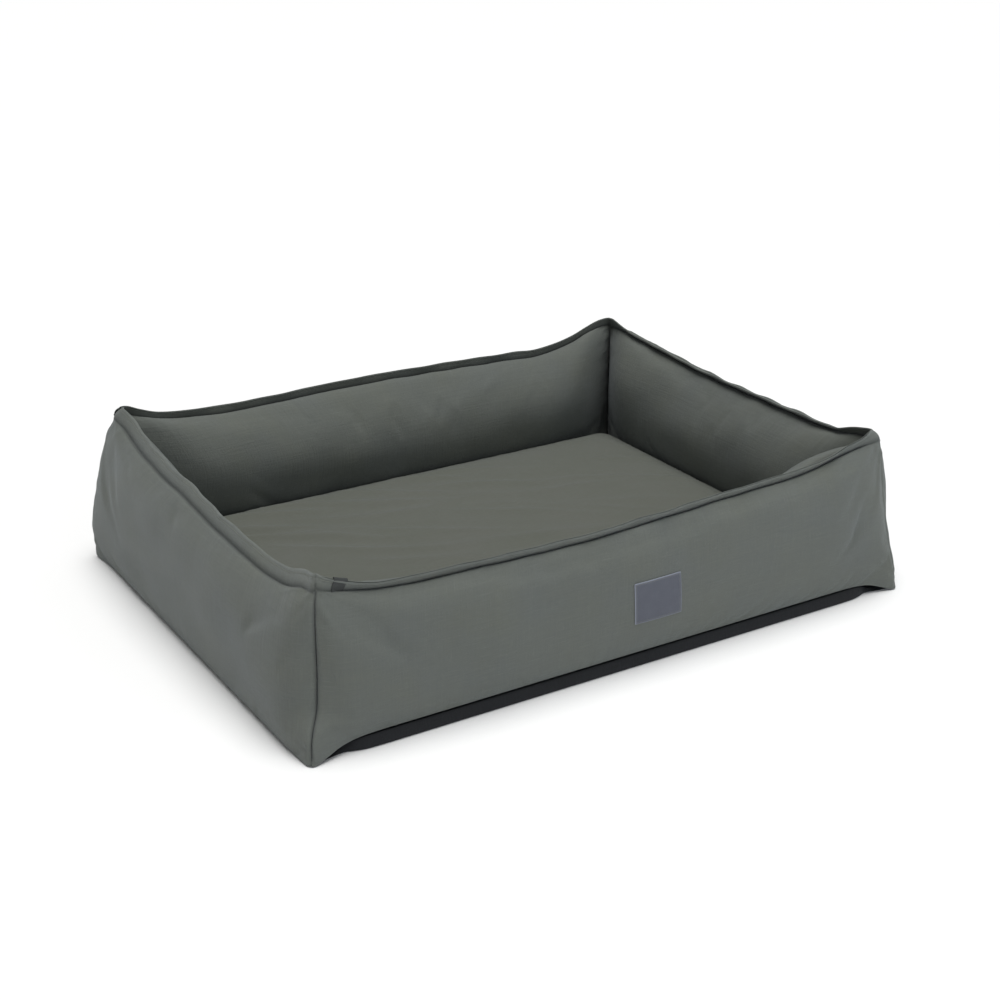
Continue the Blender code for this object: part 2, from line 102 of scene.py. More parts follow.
END_SHAPE = ((0.0, 0.885), (0.03, 0.935), (0.08, 0.972), (0.18, 0.998), (0.30, 1.0), (0.42, 0.985), (0.55, 0.930),
             (0.66, 0.850), (0.75, 0.750), (0.82, 0.645), (0.88, 0.520), (0.93, 0.370), (0.965, 0.220),
             (0.985, 0.105), (1.0, 0.0))
INNER_SHAPE = ((0.0, 0.505), (0.17, 0.56), (0.32, 0.80), (0.47, 0.965), (0.56, 1.0), (0.66, 0.955), (0.75, 0.845),
               (0.82, 0.715), (0.88, 0.565), (0.93, 0.395), (0.965, 0.230), (0.985, 0.105), (1.0, 0.0))


def table(x, pts):
    """Values on a smooth curve through a few control points."""
    xs = np.array([p[0] for p in pts], float)
    ys = np.array([p[1] for p in pts], float)
    x = np.clip(np.asarray(x, float), xs[0], xs[-1])
    m = np.empty_like(xs)
    m[1:-1] = (ys[2:] - ys[:-2]) / (xs[2:] - xs[:-2])
    m[0], m[-1] = (ys[1] - ys[0]) / (xs[1] - xs[0]), (ys[-1] - ys[-2]) / (xs[-1] - xs[-2])
    i = np.clip(np.searchsorted(xs, x, side="right") - 1, 0, len(xs) - 2)
    h = xs[i + 1] - xs[i]
    t = (x - xs[i]) / h
    return ((2 * t**3 - 3 * t * t + 1) * ys[i] + (t**3 - 2 * t * t + t) * m[i] * h
            + (3 * t * t - 2 * t**3) * ys[i + 1] + (t**3 - t * t) * m[i + 1] * h)


def smooth(x, a, b):
    t = np.clip((np.asarray(x, float) - a) / (b - a), 0, 1)
    return t * t * (3 - 2 * t)


def field(x, y, seed, lo, hi, n=28, stretch=1.0):
    """A seeded sum of waves with wavelengths from lo to hi, about -1 to 1. stretch lengthens them in y."""
    r = np.random.default_rng(seed)
    x, y = np.broadcast_arrays(np.asarray(x, float), np.asarray(y, float))
    out = np.zeros(x.shape)
    for _ in range(n):
        lam = lo * (hi / lo) ** r.random()
        a, p = r.random() * TAU, r.random() * TAU
        out += np.cos(TAU / lam * (x * math.cos(a) + y * math.sin(a) / stretch) + p)
    return out / math.sqrt(n) * 0.9


def line_noise(x, seed, lo, hi, n=14):
    r = np.random.default_rng(seed)
    x = np.asarray(x, float)
    out = np.zeros(x.shape)
    for _ in range(n):
        lam = lo * (hi / lo) ** r.random()
        out += np.cos(TAU / lam * x + r.random() * TAU)
    return out / math.sqrt(n) * 0.9


def around(wall, t):
    """Distance along the ridge, counted round the whole bed, so noise is continuous at corners."""
    start = {"front": 0.0, "right": 2 * RIDGE_X, "back": 2 * RIDGE_X + 2 * RIDGE_Y,
             "left": 4 * RIDGE_X + 2 * RIDGE_Y}[wall]
    return start + (np.asarray(t, float) + 1) * HALF[wall]


# ------------------------------------------------------------------ wall surfaces
def stations(n):
    a = np.linspace(-1, 1, n + 1)
    return np.sign(a) * (1 - (1 - np.abs(a)) ** 1.25)


def by_corner(wall, t, values):
    """A corner value, shared between the two ends of a wall."""
    w = smooth((np.asarray(t) + 1) / 2, 0.35, 0.65)
    return (1 - w) * values[ENDS[wall][0]] + w * values[ENDS[wall][1]]


def corner_share(d):
    """1 at a corner seam, 0 on the span."""
    return np.exp(-((np.clip(d, 0, None) / 0.033) ** 1.5))


def ridge_line(wall, t):
    """Height of the ridge seam, lean of the flange and length of the flange along a wall."""
    t = np.asarray(t, float)
    c = corner_share(HALF[wall] * (1 - np.abs(t)))
    free = 1 - c
    top = table((t + 1) / 2, TOP[wall])
    wave = 4.0 * line_noise(around(wall, t), 11, 0.06, 0.22)
    ang = np.radians((LEAN[wall] + wave) * free + by_corner(wall, t, CORNER_LEAN) * c)
    length = FLANGE_L[wall] * (1 - 0.06 * c) + 0.0005 * line_noise(around(wall, t), 12, 0.06, 0.2) * free
    base = top - length * np.cos(ang)
    return base, ang, length, free


def bow_of(t, v):
    return BOW * (1 - np.abs(t) ** 2.5) * np.clip(v, 0, None) ** 1.5


def seam_reach(wall, t, z):
    """Reach of the corner seams, shared between the two ends of a wall."""
    w = smooth((t + 1) / 2, 0.35, 0.65)
    return (1 - w) * table(z, SEAM[ENDS[wall][0]]) + w * table(z, SEAM[ENDS[wall][1]])


def edge_height(wall, d):
    w = 1 - np.exp(-((np.clip(d - 0.008, 0, None) / 0.026) ** 1.5))
    return EDGE_CORNER + (EDGE_MID[wall] - EDGE_CORNER) * w


def risen(v, share):
    """Height share of a run of cloth: beside the ridge the filling stands up, so the seam lies in a valley."""
    return v * (1 - share) + table(v, RISE) * share


def outer_uz(wall, t, v, bulge=1.0):
    d = HALF[wall] * (1 - np.abs(t))
    base, _, _, _ = ridge_line(wall, t)
    low = edge_height(wall, d)
    c = corner_share(d)
    z = low + (base - low) * risen(v, 1 - c)
    span = OUT_BULGE[wall] * table(v, END_SHAPE if wall in ("left", "right") else OUTER_SHAPE)
    top_in = smooth(v, 0.90, 1.0)
    corner = (seam_reach(wall, t, z) + 0.0030) * (1 - top_in) + top_in * by_corner(wall, t, CORNER_OUT)
    u = bow_of(t, v) + bulge * (1 - c) * span + c * corner
    return u, z


def foot_height(wall, t):
    d = HALF[wall] * (1 - np.abs(t))
    return 0.0065 + (FOOT_Z - 0.0065) * smooth(d, 0.105, 0.150)


def inner_uz(wall, t, b, bulge=1.0):
    d = HALF[wall] * (1 - np.abs(t))
    base, _, _, _ = ridge_line(wall, t)
    foot = foot_height(wall, t)
    c = corner_share(d)
    v = (foot + (base - foot) * b) / base
    z = foot + (base - foot) * risen(b, 1 - c)
    reach = IN_BULGE[wall] * table(v, INNER_SHAPE)
    top_in = smooth(v, 0.88, 1.0)
    corner = 0.0030 * (1 - top_in) + top_in * by_corner(wall, t, CORNER_OUT) - 0.06 * reach
    u = bow_of(t, v) - bulge * (1 - c) * reach + c * corner
    return u, z


def to_world(wall, t, u, z, radius=0.0, short=0.0002):
    """World points. Near a corner the run turns towards the diagonal on an arc of the given radius."""
    ax, ox = np.array(ALONG[wall], float), np.array(OUTWARD[wall], float)
    t, u, z, radius = np.broadcast_arrays(t, u, z, np.maximum(radius, 1e-5))
    h, k = HALF[wall] + u, RIDGE[wall] + u
    s = np.abs(t) * h
    turn = np.pi / 4 * np.clip(1 - (h - s) / radius, 0, 1)
    inside = (h - s) < radius
    along = np.where(inside, h - radius + radius * np.sin(turn), s) - short
    plane = np.where(inside, k - radius + radius * np.cos(turn), k)
    along = along * np.sign(t)
    p = np.empty(t.shape + (3,))
    p[..., 0] = ax[0] * along + ox[0] * plane
    p[..., 1] = ax[1] * along + ox[1] * plane
    p[..., 2] = z
    return p


# ------------------------------------------------------------------ mesh helpers
SHOW = bpy.data.collections.new("dog_bed_visual")
bpy.context.scene.collection.children.link(SHOW)


def add(name, mesh):
    o = bpy.data.objects.new(name, mesh)
    SHOW.objects.link(o)
    return o


def grid_mesh(name, P, flip=False, attr=None, closed=False):
    """Quads through a grid of points P[i, j]. attr is a same-shaped grid of cloth coordinates."""
    n, m = P.shape[:2]
    idx = np.arange(n * m).reshape(n, m)
    a, b = idx[:-1, :-1], idx[1:, :-1]
    c, d = idx[1:, 1:], idx[:-1, 1:]
    if closed:
        idx2 = np.vstack([idx, idx[:1]])
        a, b, c, d = idx2[:-1, :-1], idx2[1:, :-1], idx2[1:, 1:], idx2[:-1, 1:]
    f = np.stack([a, b, c, d], -1).reshape(-1, 4)
    if flip:
        f = f[:, ::-1]
    me = bpy.data.meshes.new(name)
    me.from_pydata(P.reshape(-1, 3).tolist(), [], f.tolist())
    me.update()
    if attr is not None:
        set_cloth(me, attr.reshape(-1, 3))
    me.polygons.foreach_set("use_smooth", [True] * len(me.polygons))
    return me


def set_cloth(me, co):
    at = me.attributes.get("cloth") or me.attributes.new("cloth", "FLOAT_VECTOR", "POINT")
    at.data.foreach_set("vector", np.asarray(co, np.float32).ravel())


def set_value(me, name, values):
    at = me.attributes.get(name) or me.attributes.new(name, "FLOAT", "POINT")
    at.data.foreach_set("value", np.asarray(values, np.float32).ravel())


def coords(me):
    co = np.empty(len(me.vertices) * 3, np.float32)
    me.vertices.foreach_get("co", co)
    return co.reshape(-1, 3).astype(float)


def put(me, co):
    me.vertices.foreach_set("co", np.asarray(co, np.float32).ravel())
    me.update()


def modify(o, *mods):
    """Adds modifiers, each (type, {settings}), and applies them."""
    for i, (kind, settings) in enumerate(mods):
        m = o.modifiers.new(f"m{i}", kind)
        for k, v in settings.items():
            setattr(m, k, v)
    dg = bpy.context.evaluated_depsgraph_get()
    done = bpy.data.meshes.new_from_object(o.evaluated_get(dg), preserve_all_data_layers=True, depsgraph=dg)
    o.modifiers.clear()
    old = o.data
    o.data = done
    done.name = o.name
    if old.users == 0:
        bpy.data.meshes.remove(old)
    done.polygons.foreach_set("use_smooth", [True] * len(done.polygons))
    return o


def sharpen(o, angle):
    o.data.set_sharp_from_angle(angle=math.radians(angle))


def inflate(o, pinned, pressure=3.5, slack=0.015, frames=18, cap=(0.008, 0.006), bend=0.6,
            soft=None, tension=12.0):
    """Puffs a cloth surface with Blender's cloth solver, held at the pinned points, then limits how
    far each point may end from where it began: cap is (inward, outward)."""
    me = o.data
    rest = coords(me)
    normals = np.empty(len(me.vertices) * 3, np.float32)
    me.vertices.foreach_get("normal", normals)
    normals = normals.reshape(-1, 3).astype(float)
    g = o.vertex_groups.new(name="held")
    for w in np.unique(np.round(pinned, 2)):
        if w > 0:
            g.add(np.nonzero(np.abs(pinned - w) < 0.006)[0].tolist(), float(w), "REPLACE")
    m = o.modifiers.new("cloth", "CLOTH")
    s = m.settings
    s.quality = 6
    s.mass = 0.25
    s.air_damping = 2.0
    s.tension_stiffness = s.compression_stiffness = tension
    s.shear_stiffness = tension * 0.4
    s.bending_stiffness = bend
    s.tension_damping = s.compression_damping = s.shear_damping = 12.0
    s.bending_damping = 0.8
    s.use_pressure = True
    s.uniform_pressure_force = pressure
    s.shrink_min = -slack
    s.vertex_group_mass = "held"
    s.effector_weights.gravity = 0.0
    m.collision_settings.use_collision = False
    m.collision_settings.use_self_collision = False
    m.point_cache.frame_start = 1
    m.point_cache.frame_end = frames
    scene = bpy.context.scene
    for k in range(1, frames + 1):
        scene.frame_set(k)
    dg = bpy.context.evaluated_depsgraph_get()
    ev = o.evaluated_get(dg)
    tmp = ev.to_mesh()
    moved = coords(tmp)
    ev.to_mesh_clear()
    o.modifiers.clear()
    o.vertex_groups.clear()
    scene.frame_set(1)
    delta = moved - rest
    bad = ~np.isfinite(delta).all(1)
    delta[bad] = 0
    along = (delta * normals).sum(1)
    side = delta - along[:, None] * normals
    lo, hi = cap
    soft_along = np.where(along > 0, hi * np.tanh(along / hi), -lo * np.tanh(-along / lo))
    mag = np.linalg.norm(side, axis=1)
    side *= (np.minimum(mag, 0.002) / np.maximum(mag, 1e-9))[:, None]
    free = 1.0 - np.clip(pinned, 0, 1)
    put(me, rest + (soft_along[:, None] * normals + side) * free[:, None])
    return o


# ------------------------------------------------------------------ materials
def srgb(r, g, b):
    def one(c):
        c /= 255.0
        return c / 12.92 if c <= 0.04045 else ((c + 0.055) / 1.055) ** 2.4
    return (one(r), one(g), one(b), 1.0)


class Nodes:
    """Small helper for building shader trees."""

    def __init__(self, name):
        self.mat = bpy.data.materials.new(name)
        self.mat.use_nodes = True
        self.t = self.mat.node_tree
        self.bsdf = self.t.nodes["Principled BSDF"]

    def new(self, kind, **kw):
        n = self.t.nodes.new(kind)
        for k, v in kw.items():
            setattr(n, k, v)
        return n

    def link(self, a, b):
        self.t.links.new(a, b)

    def val(self, socket, value):
        if hasattr(value, "is_linked") or hasattr(value, "links"):
            self.link(value, socket)
        else:
            socket.default_value = value

    def math(self, op, a, b=None, c=None, clamp=False):
        n = self.new("ShaderNodeMath", operation=op, use_clamp=clamp)
        self.val(n.inputs[0], a)
        if b is not None:
            self.val(n.inputs[1], b)
        if c is not None:
            self.val(n.inputs[2], c)
        return n.outputs[0]

    def mix(self, fac, a, b, blend="MIX"):
        n = self.new("ShaderNodeMix", data_type="RGBA", blend_type=blend)
        self.val(n.inputs[0], fac)
        self.val(n.inputs[6], a)
        self.val(n.inputs[7], b)
        return n.outputs[2]

    def attr(self, name):
        return self.new("ShaderNodeAttribute", attribute_name=name)

    def scaled(self, vec, sx, sy, sz=1.0):
        n = self.new("ShaderNodeMapping")
        n.inputs["Scale"].default_value = (sx, sy, sz)
        self.link(vec, n.inputs["Vector"])
        return n.outputs[0]

    def noise(self, vec, scale, detail=3.0, rough=0.5):
        n = self.new("ShaderNodeTexNoise")
        n.inputs["Scale"].default_value = scale
        n.inputs["Detail"].default_value = detail
        n.inputs["Roughness"].default_value = rough
        self.link(vec, n.inputs["Vector"])
        return n.outputs["Fac"]

    def ramp(self, fac, lo, hi, a=0.0, b=1.0):
        n = self.new("ShaderNodeMapRange")
        n.inputs["From Min"].default_value, n.inputs["From Max"].default_value = lo, hi
        n.inputs["To Min"].default_value, n.inputs["To Max"].default_value = a, b
        self.link(fac, n.inputs["Value"])
        return n.outputs["Result"]

    def bump(self, height, strength, distance, normal=None):
        n = self.new("ShaderNodeBump")
        n.inputs["Strength"].default_value = strength
        n.inputs["Distance"].default_value = distance
        self.link(height, n.inputs["Height"])
        if normal is not None:
            self.link(normal, n.inputs["Normal"])
        return n.outputs[0]


def canvas_material(name, colour, warm, pitch=0.00085, wear=0.42, sheen=0.20, rough=0.86):
    """A plain-weave canvas: threads from cloth coordinates in metres, slubs, mottling, rubbed edges, and painted shade
    along the sewn seams and corner seams.
    """
    k = Nodes(name)
    co = k.attr("cloth").outputs["Vector"]
    sep = k.new("ShaderNodeSeparateXYZ")
    k.link(co, sep.inputs[0])
    u, v = sep.outputs[0], sep.outputs[1]
    # slight wander of the threads
    wob = k.noise(k.scaled(co, 60, 60), 1.0, 2.0)
    wob = k.math("MULTIPLY", k.math("SUBTRACT", wob, 0.5), pitch * 0.9)
    uu, vv = k.math("ADD", u, wob), k.math("SUBTRACT", v, wob)
    warp = k.math("SINE", k.math("MULTIPLY", uu, TAU / pitch))
    weft = k.math("SINE", k.math("MULTIPLY", vv, TAU / pitch))
    both = k.math("MULTIPLY", warp, weft)
    over = k.math("MULTIPLY_ADD", both, 0.5, 0.5)
    ridge = k.math("ADD", k.math("ABSOLUTE", k.math("SINE", k.math("MULTIPLY", uu, math.pi / pitch))),
                   k.math("ABSOLUTE", k.math("SINE", k.math("MULTIPLY", vv, math.pi / pitch))))
    weave = k.math("ADD", k.math("MULTIPLY", over, 0.55), k.math("MULTIPLY", ridge, 0.35))
    # thicker single threads, along and across
    slub_a = k.ramp(k.noise(k.scaled(co, 28, 1150), 1.0, 2.0, 0.6), 0.60, 0.78)
    slub_b = k.ramp(k.noise(k.scaled(co, 1150, 28), 1.0, 2.0, 0.6), 0.62, 0.80)
    slub = k.math("MAXIMUM", slub_a, slub_b)
    grain = k.noise(k.scaled(co, 420, 420), 1.0, 2.0, 0.6)
    cloud = k.noise(k.scaled(co, 9, 9), 1.0, 3.0, 0.55)
    fine = k.noise(k.scaled(co, 70, 90), 1.0, 3.0, 0.55)
    dark = tuple(c * 0.80 for c in colour[:3]) + (1,)
    base = k.mix(k.ramp(cloud, 0.30, 0.70), colour, warm)
    base = k.mix(k.math("MULTIPLY", k.ramp(grain, 0.35, 0.65), 0.16), base, dark)
    base = k.mix(k.math("MULTIPLY", k.ramp(fine, 0.35, 0.70), 0.10), base, dark)
    light = tuple(min(1, c * 1.75) for c in colour[:3]) + (1,)
    run_a = k.ramp(k.noise(k.scaled(co, 10, 330), 1.0, 3.0, 0.65), 0.36, 0.64)
    run_b = k.ramp(k.noise(k.scaled(co, 330, 10), 1.0, 3.0, 0.65), 0.36, 0.64)
    base = k.mix(k.math("MULTIPLY", run_a, 0.24), base, dark)
    base = k.mix(k.math("MULTIPLY", run_b, 0.20), base, dark)
    base = k.mix(k.math("MULTIPLY", slub, 0.34), base, light)
    pale = k.math("MULTIPLY", k.math("SUBTRACT", over, 0.5), 0.16)
    base = k.mix(k.math("ADD", pale, 0.08, clamp=True), base, light)
    edge = k.attr("edge").outputs["Fac"]
    rub = k.math("MULTIPLY", edge, k.ramp(k.noise(k.scaled(co, 45, 45), 1.0, 4.0, 0.65), 0.25, 0.75))
    worn = tuple(min(1, c * 1.9 + 0.01) for c in colour[:3]) + (1,)
    base = k.mix(k.math("MULTIPLY", rub, wear), base, worn)
    # painted shade: darkens the cloth along the sewn seam at the ridge and down the corner seams, where shade falls in
    # the creases
    crease_shade_colour = tuple(c * 0.30 for c in colour[:3]) + (1,)
    base = k.mix(k.math("MULTIPLY", k.attr("crease_shade").outputs["Fac"], 0.62, clamp=True), base, crease_shade_colour)
    k.link(base, k.bsdf.inputs["Base Color"])
    k.link(k.ramp(cloud, 0.2, 0.8, rough - 0.05, rough + 0.06), k.bsdf.inputs["Roughness"])
    k.bsdf.inputs["Specular IOR Level"].default_value = 0.28
    k.bsdf.inputs["Sheen Weight"].default_value = sheen
    k.bsdf.inputs["Sheen Roughness"].default_value = 0.45
    k.bsdf.inputs["Sheen Tint"].default_value = (0.85, 0.92, 1.0, 1.0)
    n1 = k.bump(weave, 0.55, pitch * 0.35)
    n2 = k.bump(k.math("ADD", k.math("ADD", run_a, run_b), k.math("MULTIPLY", slub, 1.5)), 0.45, 0.00035, n1)
    n3 = k.bump(k.noise(k.scaled(co, 55, 70), 1.0, 3.0, 0.5), 0.22, 0.0012, n2)
    k.link(n3, k.bsdf.inputs["Normal"])
    return k.mat


GREY = srgb(95, 99, 96)
GREY_WARM = srgb(98, 101, 93)
CANVAS = canvas_material("wall_canvas_weave", GREY, GREY_WARM)
CUSHION_CANVAS = canvas_material("cushion_canvas_weave", srgb(91, 93, 86), srgb(88, 91, 82))
BLACK_CLOTH = canvas_material("base_black_weave", srgb(26, 28, 31), srgb(30, 31, 33), pitch=0.0011,
                              wear=0.10, sheen=0.05, rough=0.80)
LINING = canvas_material("lining_weave", srgb(52, 54, 56), srgb(48, 50, 52), pitch=0.0013, wear=0.05,
                         sheen=0.05, rough=0.9)


def paint(o, mat):
    o.data.materials.clear()
    o.data.materials.append(mat)
    return o


# ------------------------------------------------------------------ wall panels
N_LONG, N_SHORT, N_UP = 186, 140, 48
FLANGE_ROWS = np.array([0.0, 0.08, 0.20, 0.35, 0.50, 0.62, 0.70, 0.76, 0.82, 0.90, 0.96, 1.0])
# how far each row of a ply stands off the middle of the flange: pinched at the seam and at the stitching
FLANGE_OFF = np.array([0.66, 0.84, 1.02, 1.14, 1.12, 1.00, 0.84, 0.68, 0.84, 0.98, 0.86, 0.58])
STITCH_ROW = 7
CORNER_TURN = 0.0125


def flange_points(wall, t, sign, extra=0.0):
    """Both faces of the stand-up flange: rows of points from the ridge seam to the folded top."""
    base, ang, length, free = ridge_line(wall, t)
    wav = line_noise(around(wall, t), 21, 0.05, 0.15) * 0.0007 * free
    u0 = bow_of(t, 1.0) + (1 - free) * by_corner(wall, t, CORNER_OUT)
    rows_u, rows_z = [], []
    for h, off in zip(FLANGE_ROWS, FLANGE_OFF):
        cu, cz = np.zeros_like(t), np.zeros_like(t)
        for q in range(8):
            bend = ang * (0.60 + 0.80 * h * (q + 0.5) / 8)
            cu += np.sin(bend) * length * h / 8
            cz += np.cos(bend) * length * h / 8
        cu += wav * h * h
        a = ang * (0.60 + 0.80 * h)
        rows_u.append(u0 + cu + sign * (off * PLY + extra) * np.cos(a))
        rows_z.append(base + cz - sign * (off * PLY + extra) * np.sin(a))
    return np.stack(rows_u, 1), np.stack(rows_z, 1)


def thicken(o, thick=CLOTH, offset=-1.0, sub=True):
    mods = [("SUBSURF", {"levels": 1, "render_levels": 1})] if sub else []
    mods.append(("SOLIDIFY", {"thickness": thick, "offset": offset, "use_rim": True}))
    return modify(o, *mods)


def face_towards(me, k, direction):
    if np.dot(np.array(me.polygons[k].normal), direction) < 0:
        me.flip_normals()


def panel(wall, side):
    n = N_LONG if wall in ("front", "back") else N_SHORT
    t = stations(n)
    a = np.linspace(0, 1, N_UP + 1)
    v = a - 0.78 * np.sin(TAU * a) / TAU
    T, V = np.meshgrid(t, v, indexing="ij")
    sign = 1.0 if side == "outer" else -1.0
    u, z = (outer_uz if side == "outer" else inner_uz)(wall, T, V, 0.96)
    off = np.where(V > 0.94, 1 - 0.34 * smooth(V, 0.94, 1.0), 1.0)
    u = u + sign * PLY * off
    seed = 100 + 10 * WALLS.index(wall) + (0 if side == "outer" else 5)
    s_round = around(wall, T)
    d = HALF[wall] * (1 - np.abs(T))
    groove = 0.0042 * np.exp(-d / 0.0036) * smooth(V, 0.0, 0.06) * (1 - smooth(V, 0.90, 1.0))
    u = u - sign * groove
    rim = smooth(V, 0.0, 0.14) * smooth(1 - V, 0.0, 0.12) * smooth(d, 0.0, 0.03)
    u = u + sign * 0.0014 * field(s_round, z * 1.5, seed, 0.10, 0.30) * rim
    turn = CORNER_TURN * (1 - 0.25 * smooth(1 - V, 0.0, 0.4)) if side == "outer" else 0.0035
    P = to_world(wall, T, u, z, turn)
    shift = 0.0 if side == "outer" else 0.6
    attr = np.stack([s_round, z * 1.12 + shift, np.zeros_like(z)], -1)
    me = grid_mesh(f"{wall}_{side}_sim", P)
    out = np.array(OUTWARD[wall] + (0,), float) * sign
    face_towards(me, (n // 2) * N_UP + N_UP // 2, out)
    o = add(me.name, me)
    pins = np.zeros(T.shape)
    pins[1, :] = pins[-2, :] = 0.6
    pins[:, 1] = 0.5
    pins[:, -2] = 0.6
    pins[0, :] = pins[-1, :] = 1
    pins[:, 0] = pins[:, -1] = 1
    inflate(o, pins.ravel(), pressure=7.0, slack=0.006, frames=14, cap=(0.0022, 0.0045), bend=1.2, tension=18.0)
    co = coords(o.data).reshape(P.shape)
    bpy.data.objects.remove(o, do_unlink=True)
    # short puckers that run out of the seams
    down = (1 - V) * 0.20
    up = V * 0.20
    gate = 0.45 + 0.55 * smooth(line_noise(s_round, seed + 7, 0.10, 0.30), -0.3, 0.9)
    pk = (0.0013 * gate * np.exp(-down / 0.013) * (1 - np.exp(-down / 0.003))
          * line_noise(s_round + 0.25 * down * np.sin(s_round * 9), seed + 1, 0.012, 0.034)
          + 0.00070 * gate * np.exp(-up / 0.012) * (1 - np.exp(-up / 0.003))
          * line_noise(s_round, seed + 2, 0.016, 0.045)
          + 0.0012 * np.exp(-d / 0.014) * (1 - np.exp(-d / 0.003))
          * line_noise(z + 0.2 * d, seed + 3, 0.013, 0.034))
    # a few drag lines falling from the ridge and fanning out of the corners
    r = np.random.default_rng(seed + 4)
    for _ in range(6 if wall in ("front", "back") else 4):
        x0, slant = r.uniform(-0.85, 0.85) * HALF[wall], r.uniform(-0.6, 0.6)
        wide, deep, reach = r.uniform(0.004, 0.008), r.uniform(0.0005, 0.0011), r.uniform(0.018, 0.045)
        dist = T * HALF[wall] - x0 - slant * down
        pk = pk - deep * np.exp(-(dist / wide) ** 2) * np.exp(-down / reach) * (1 - np.exp(-down / 0.004))
    for end in (-1, 1):
        dd = np.where(T * end > 0, d, 9.0)
        if side == "outer":
            for z0, slope, wide, deep in ((0.018, 0.75, 0.0040, 0.0030), (0.036, 0.25, 0.0050, 0.0016), (0.178, -0.55, 0.0045, 0.0016)):
                z1, k1 = z0 * r.uniform(0.85, 1.2), slope * r.uniform(0.8, 1.25)
                dist = z - z1 - k1 * dd
                pk = pk - deep * np.exp(-(dist / wide) ** 2) * np.exp(-dd / 0.026) * (1 - np.exp(-dd / 0.004))
        for _ in range(3):
            z0, slope = r.uniform(0.03, 0.20), r.uniform(-0.9, 0.9)
            wide, deep, reach = r.uniform(0.004, 0.007), r.uniform(0.0007, 0.0014), r.uniform(0.018, 0.040)
            dist = z - z0 - slope * dd
            pk = pk - deep * np.exp(-(dist / wide) ** 2) * np.exp(-dd / reach) * (1 - np.exp(-dd / 0.004))
    co[..., 0] += sign * OUTWARD[wall][0] * pk
    co[..., 1] += sign * OUTWARD[wall][1] * pk
    # the flange ply above the ridge
    fu, fz = flange_points(wall, t, sign)
    FT = np.repeat(t[:, None], fu.shape[1], 1)
    F = to_world(wall, FT, fu, fz, CORNER_TURN if side == "outer" else CORNER_TURN * 0.8)
    co[:, -1] = F[:, 0]
    full = np.concatenate([co, F[:, 1:]], 1)
    fattr = np.stack([around(wall, FT[:, 1:]), z[:, -1:] * 1.12 + FLANGE_ROWS[None, 1:] * 0.02 + shift,
                      np.zeros_like(FT[:, 1:])], -1)
    me = grid_mesh(f"{wall}_{side}_panel_cloth", full, attr=np.concatenate([attr, fattr], 1))
    edge = np.zeros(full.shape[:2])
    edge[:, -4:] = np.array([0.2, 0.6, 1.0, 1.0])
    edge[:, :3] = np.maximum(edge[:, :3], np.array([0.7, 0.35, 0.1]))
    edge = np.maximum(edge, np.exp(-(HALF[wall] * (1 - np.abs(t)))[:, None] / 0.004) * 0.4)
    set_value(me, "edge", edge)
    # the cloth lies doubled in the sewn seam at the ridge; painted shade: its colour is darkened there and down the
    # corner seams, where shade falls
    crease_shade = np.zeros(full.shape[:2])
    crease_shade[:, N_UP - 3:N_UP + 4] = np.array([0.20, 0.55, 0.90, 1.0, 0.85, 0.45, 0.15])
    corner_seam_shade = np.exp(-((HALF[wall] * (1 - np.abs(t)))[:, None] / 0.0022) ** 2) * 0.8
    crease_shade = np.maximum(crease_shade, corner_seam_shade * (np.arange(full.shape[1]) < N_UP + 4))
    set_value(me, "crease_shade", crease_shade)
    face_towards(me, (n // 2) * (full.shape[1] - 1) + N_UP // 2, out)
    o = add(me.name, me)
    thicken(o)
    paint(o, CANVAS)
    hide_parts(f"{wall}_{side}_panel")
    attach(o, "surround")
    return o, full, t


PANELS = {}
for wall in WALLS:
    for side in ("outer", "inner"):
        PANELS[wall, side] = panel(wall, side)


# ------------------------------------------------------------------ small repeated pieces
def bead(sides=6, rings=3, power=3.0):
    """A closed rounded bar along X from -1 to 1 with radius 1."""
    xs = [-0.86, 0.0, 0.86] if rings == 3 else np.linspace(-0.9, 0.9, rings)
    verts = [(-1.0, 0, 0)]
    for x in xs:
        rr = (1 - abs(x) ** power) ** (1 / 2.0)
        for k in range(sides):
            a = TAU * (k + 0.5) / sides
            verts.append((x, rr * math.cos(a), rr * math.sin(a)))
    verts.append((1.0, 0, 0))
    faces = []
    n = len(xs)
    for k in range(sides):
        k2 = (k + 1) % sides
        faces.append((0, 1 + k2, 1 + k))
        for i in range(n - 1):
            a, b = 1 + i * sides, 1 + (i + 1) * sides
            faces.append((a + k, a + k2, b + k2, b + k))
        a = 1 + (n - 1) * sides
        faces.append((a + k, a + k2, len(verts) - 1))
    return np.array(verts), faces


def scatter(name, verts, faces, frames):
    """One mesh holding a copy of the shape in every frame (origin, X, Y, Z columns)."""
    allv, allf = [], []
    for j, (o, X, Y, Z) in enumerate(frames):
        allv.append(o + verts[:, :1] * X + verts[:, 1:2] * Y + verts[:, 2:3] * Z)
        base = j * len(verts)
        allf.extend(tuple(base + i for i in f) for f in faces)
    me = bpy.data.meshes.new(name)
    me.from_pydata(np.concatenate(allv).tolist(), [], allf)
    me.update()
    me.polygons.foreach_set("use_smooth", [True] * len(me.polygons))
    return add(name, me)


def resample(P, pitch):
    seg = np.linalg.norm(np.diff(P, axis=0), axis=1)
    s = np.concatenate([[0], np.cumsum(seg)])
    at = np.arange(0.5 * pitch, s[-1], pitch)
    q = np.stack([np.interp(at, s, P[:, k]) for k in range(P.shape[1])], 1)
    return q


